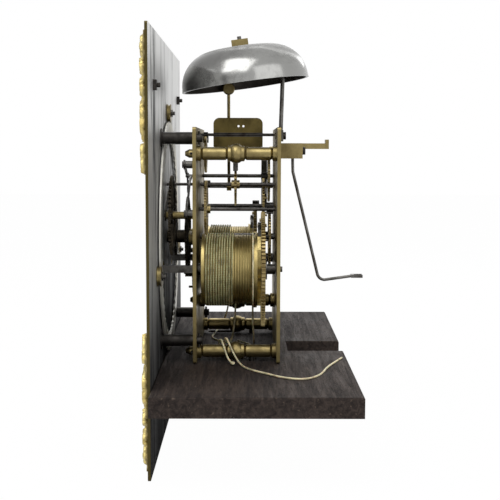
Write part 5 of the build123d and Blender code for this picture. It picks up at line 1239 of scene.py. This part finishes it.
CAMERA_PLACE = (0.8005, 0.0407, 0.1754)
CAMERA_DOWN = 5.89
CAMERA_ASIDE = 0.14
CAMERA_ROLL = -0.15
SENSOR = 36.0
FLOOR_Z = -0.0488
FLOOR_REACH = 4.0
FLOOR_WHITE = 0.985
WHITE = (1.0, 1.0, 1.0)
LAMP_AIM = Vector((0.0, 0.03, 0.1))
LAMPS = (  # name, place, size, share of the key lamp's power
    ("key", (0.7, -0.25, 1.1), 0.9, 1.0),
    ("fill", (0.9, 0.9, 0.6), 1.2, 0.5),
    ("back", (-0.9, 0.3, 0.9), 0.9, 0.6),
    ("front", (0.1, -1.2, 0.5), 1.0, 0.5),
)


class CLOCK_OT_set_stage(bpy.types.Operator):
    """Put the floor, the lamps and the camera round the clock"""

    bl_idname = "clock.set_stage"
    bl_label = "Set the stage"

    def execute(self, context):
        stage = context.scene.clock_stage
        self.camera(context, stage.focal_length)
        self.floor()
        self.lamps(stage.key)
        self.sky(context, stage.sky)
        context.scene.view_settings.view_transform = "Standard"
        return {"FINISHED"}

    def camera(self, context, focal_length):
        lens = bpy.data.cameras.new("camera")
        lens.sensor_width = SENSOR
        lens.lens = focal_length
        lens.clip_end = 20.0
        made = link("camera", lens)
        down, aside = math.radians(CAMERA_DOWN), math.radians(CAMERA_ASIDE)
        level = math.cos(down)
        look = Vector((-math.cos(aside) * level, math.sin(aside) * level, -math.sin(down)))
        made.location = CAMERA_PLACE
        roll = Matrix.Rotation(math.radians(CAMERA_ROLL), 4, look)
        made.rotation_euler = (roll @ look.to_track_quat("-Z", "Y").to_matrix().to_4x4()).to_euler()
        context.scene.camera = made

    def floor(self):
        """A pale floor that the camera sees as white, with the faintest of shadows."""
        f = Finish("pale floor")
        shade = f.blend((0.86, 0.86, 0.86), (0.9, 0.9, 0.9), f.noise(f.place(), 3.0, 2.0))
        paint = f.node("ShaderNodeBsdfDiffuse", None, {"Color": shade})
        glow = f.node("ShaderNodeEmission", None, {"Color": WHITE, "Strength": 1.0})
        seen = f.node("ShaderNodeLightPath", out="Is Camera Ray")
        mixed = f.node("ShaderNodeMixShader", None, {0: seen * FLOOR_WHITE, 1: paint, 2: glow})
        f.node("ShaderNodeOutputMaterial", None, {"Surface": mixed})
        corners = ((-1, -1), (1, -1), (1, 1), (-1, 1))
        mesh = bpy.data.meshes.new("floor")
        places = [(x * FLOOR_REACH, y * FLOOR_REACH, FLOOR_Z) for x, y in corners]
        mesh.from_pydata(places, [], [(0, 1, 2, 3)])
        floor = link("floor", mesh)
        dress(floor, f.material)

    def lamps(self, key):
        for name, place, size, share in LAMPS:
            lamp = bpy.data.lights.new(name, "AREA")
            lamp.size = size
            lamp.energy = share * key
            made = link(name, lamp)
            made.location = place
            made.rotation_euler = (LAMP_AIM - made.location).to_track_quat("-Z", "Y").to_euler()

    def sky(self, context, strength):
        """Even light from all round, which the camera and bright metal see as plain white."""
        world = bpy.data.worlds.new("studio")
        context.scene.world = world
        world.use_nodes = True
        world.node_tree.nodes.clear()
        nodes = Nodes(world.node_tree)
        soft = nodes.node("ShaderNodeBackground", None, {"Color": WHITE, "Strength": strength})
        white = nodes.node("ShaderNodeBackground", None, {"Color": WHITE})
        seen = 0.0
        for ray in ("Is Camera Ray", "Is Glossy Ray", "Is Transmission Ray"):
            seen = nodes.most(seen, nodes.node("ShaderNodeLightPath", out=ray))
        mixed = nodes.node("ShaderNodeMixShader", None, {0: seen, 1: soft, 2: white})
        nodes.node("ShaderNodeOutputWorld", None, {"Surface": mixed})


class CLOCK_PT_panel(bpy.types.Panel):
    """The clock's steps, in the 3D view's sidebar"""

    bl_idname = "CLOCK_PT_panel"
    bl_label = "Longcase clock"
    bl_space_type = "VIEW_3D"
    bl_region_type = "UI"
    bl_category = "Clock"

    def draw(self, context):
        scene = context.scene
        for settings in (scene.clock_metals, scene.clock_lines, scene.clock_dial, scene.clock_stage):
            box = self.layout.box()
            for name in settings.bl_rna.properties.keys():
                if name not in ("rna_type", "name"):
                    box.prop(settings, name)
        for operator in OPERATORS:
            self.layout.operator(operator.bl_idname)


SETTINGS = {
    "clock_metals": ClockMetals,
    "clock_lines": ClockLines,
    "clock_dial": ClockDial,
    "clock_stage": ClockStage,
}
OPERATORS = (
    CLOCK_OT_set_stage,
    CLOCK_OT_lay_lines,
    CLOCK_OT_wind_barrels,
    CLOCK_OT_finish_solids,
    CLOCK_OT_figure_dial,
    CLOCK_OT_carve_spandrels,
)


def register():
    for made in (*SETTINGS.values(), *OPERATORS, CLOCK_PT_panel):
        bpy.utils.register_class(made)
    for name, kind in SETTINGS.items():
        setattr(bpy.types.Scene, name, PointerProperty(type=kind))


def unregister():
    for name in SETTINGS:
        delattr(bpy.types.Scene, name)
    for made in (*SETTINGS.values(), *OPERATORS, CLOCK_PT_panel):
        bpy.utils.unregister_class(made)


def main():
    register()
    bpy.ops.clock.set_stage()
    bpy.ops.clock.lay_lines()
    bpy.ops.clock.wind_barrels()
    bpy.ops.clock.finish_solids()
    bpy.ops.clock.figure_dial()
    bpy.ops.clock.carve_spandrels()


if __name__ == "__main__":
    main()
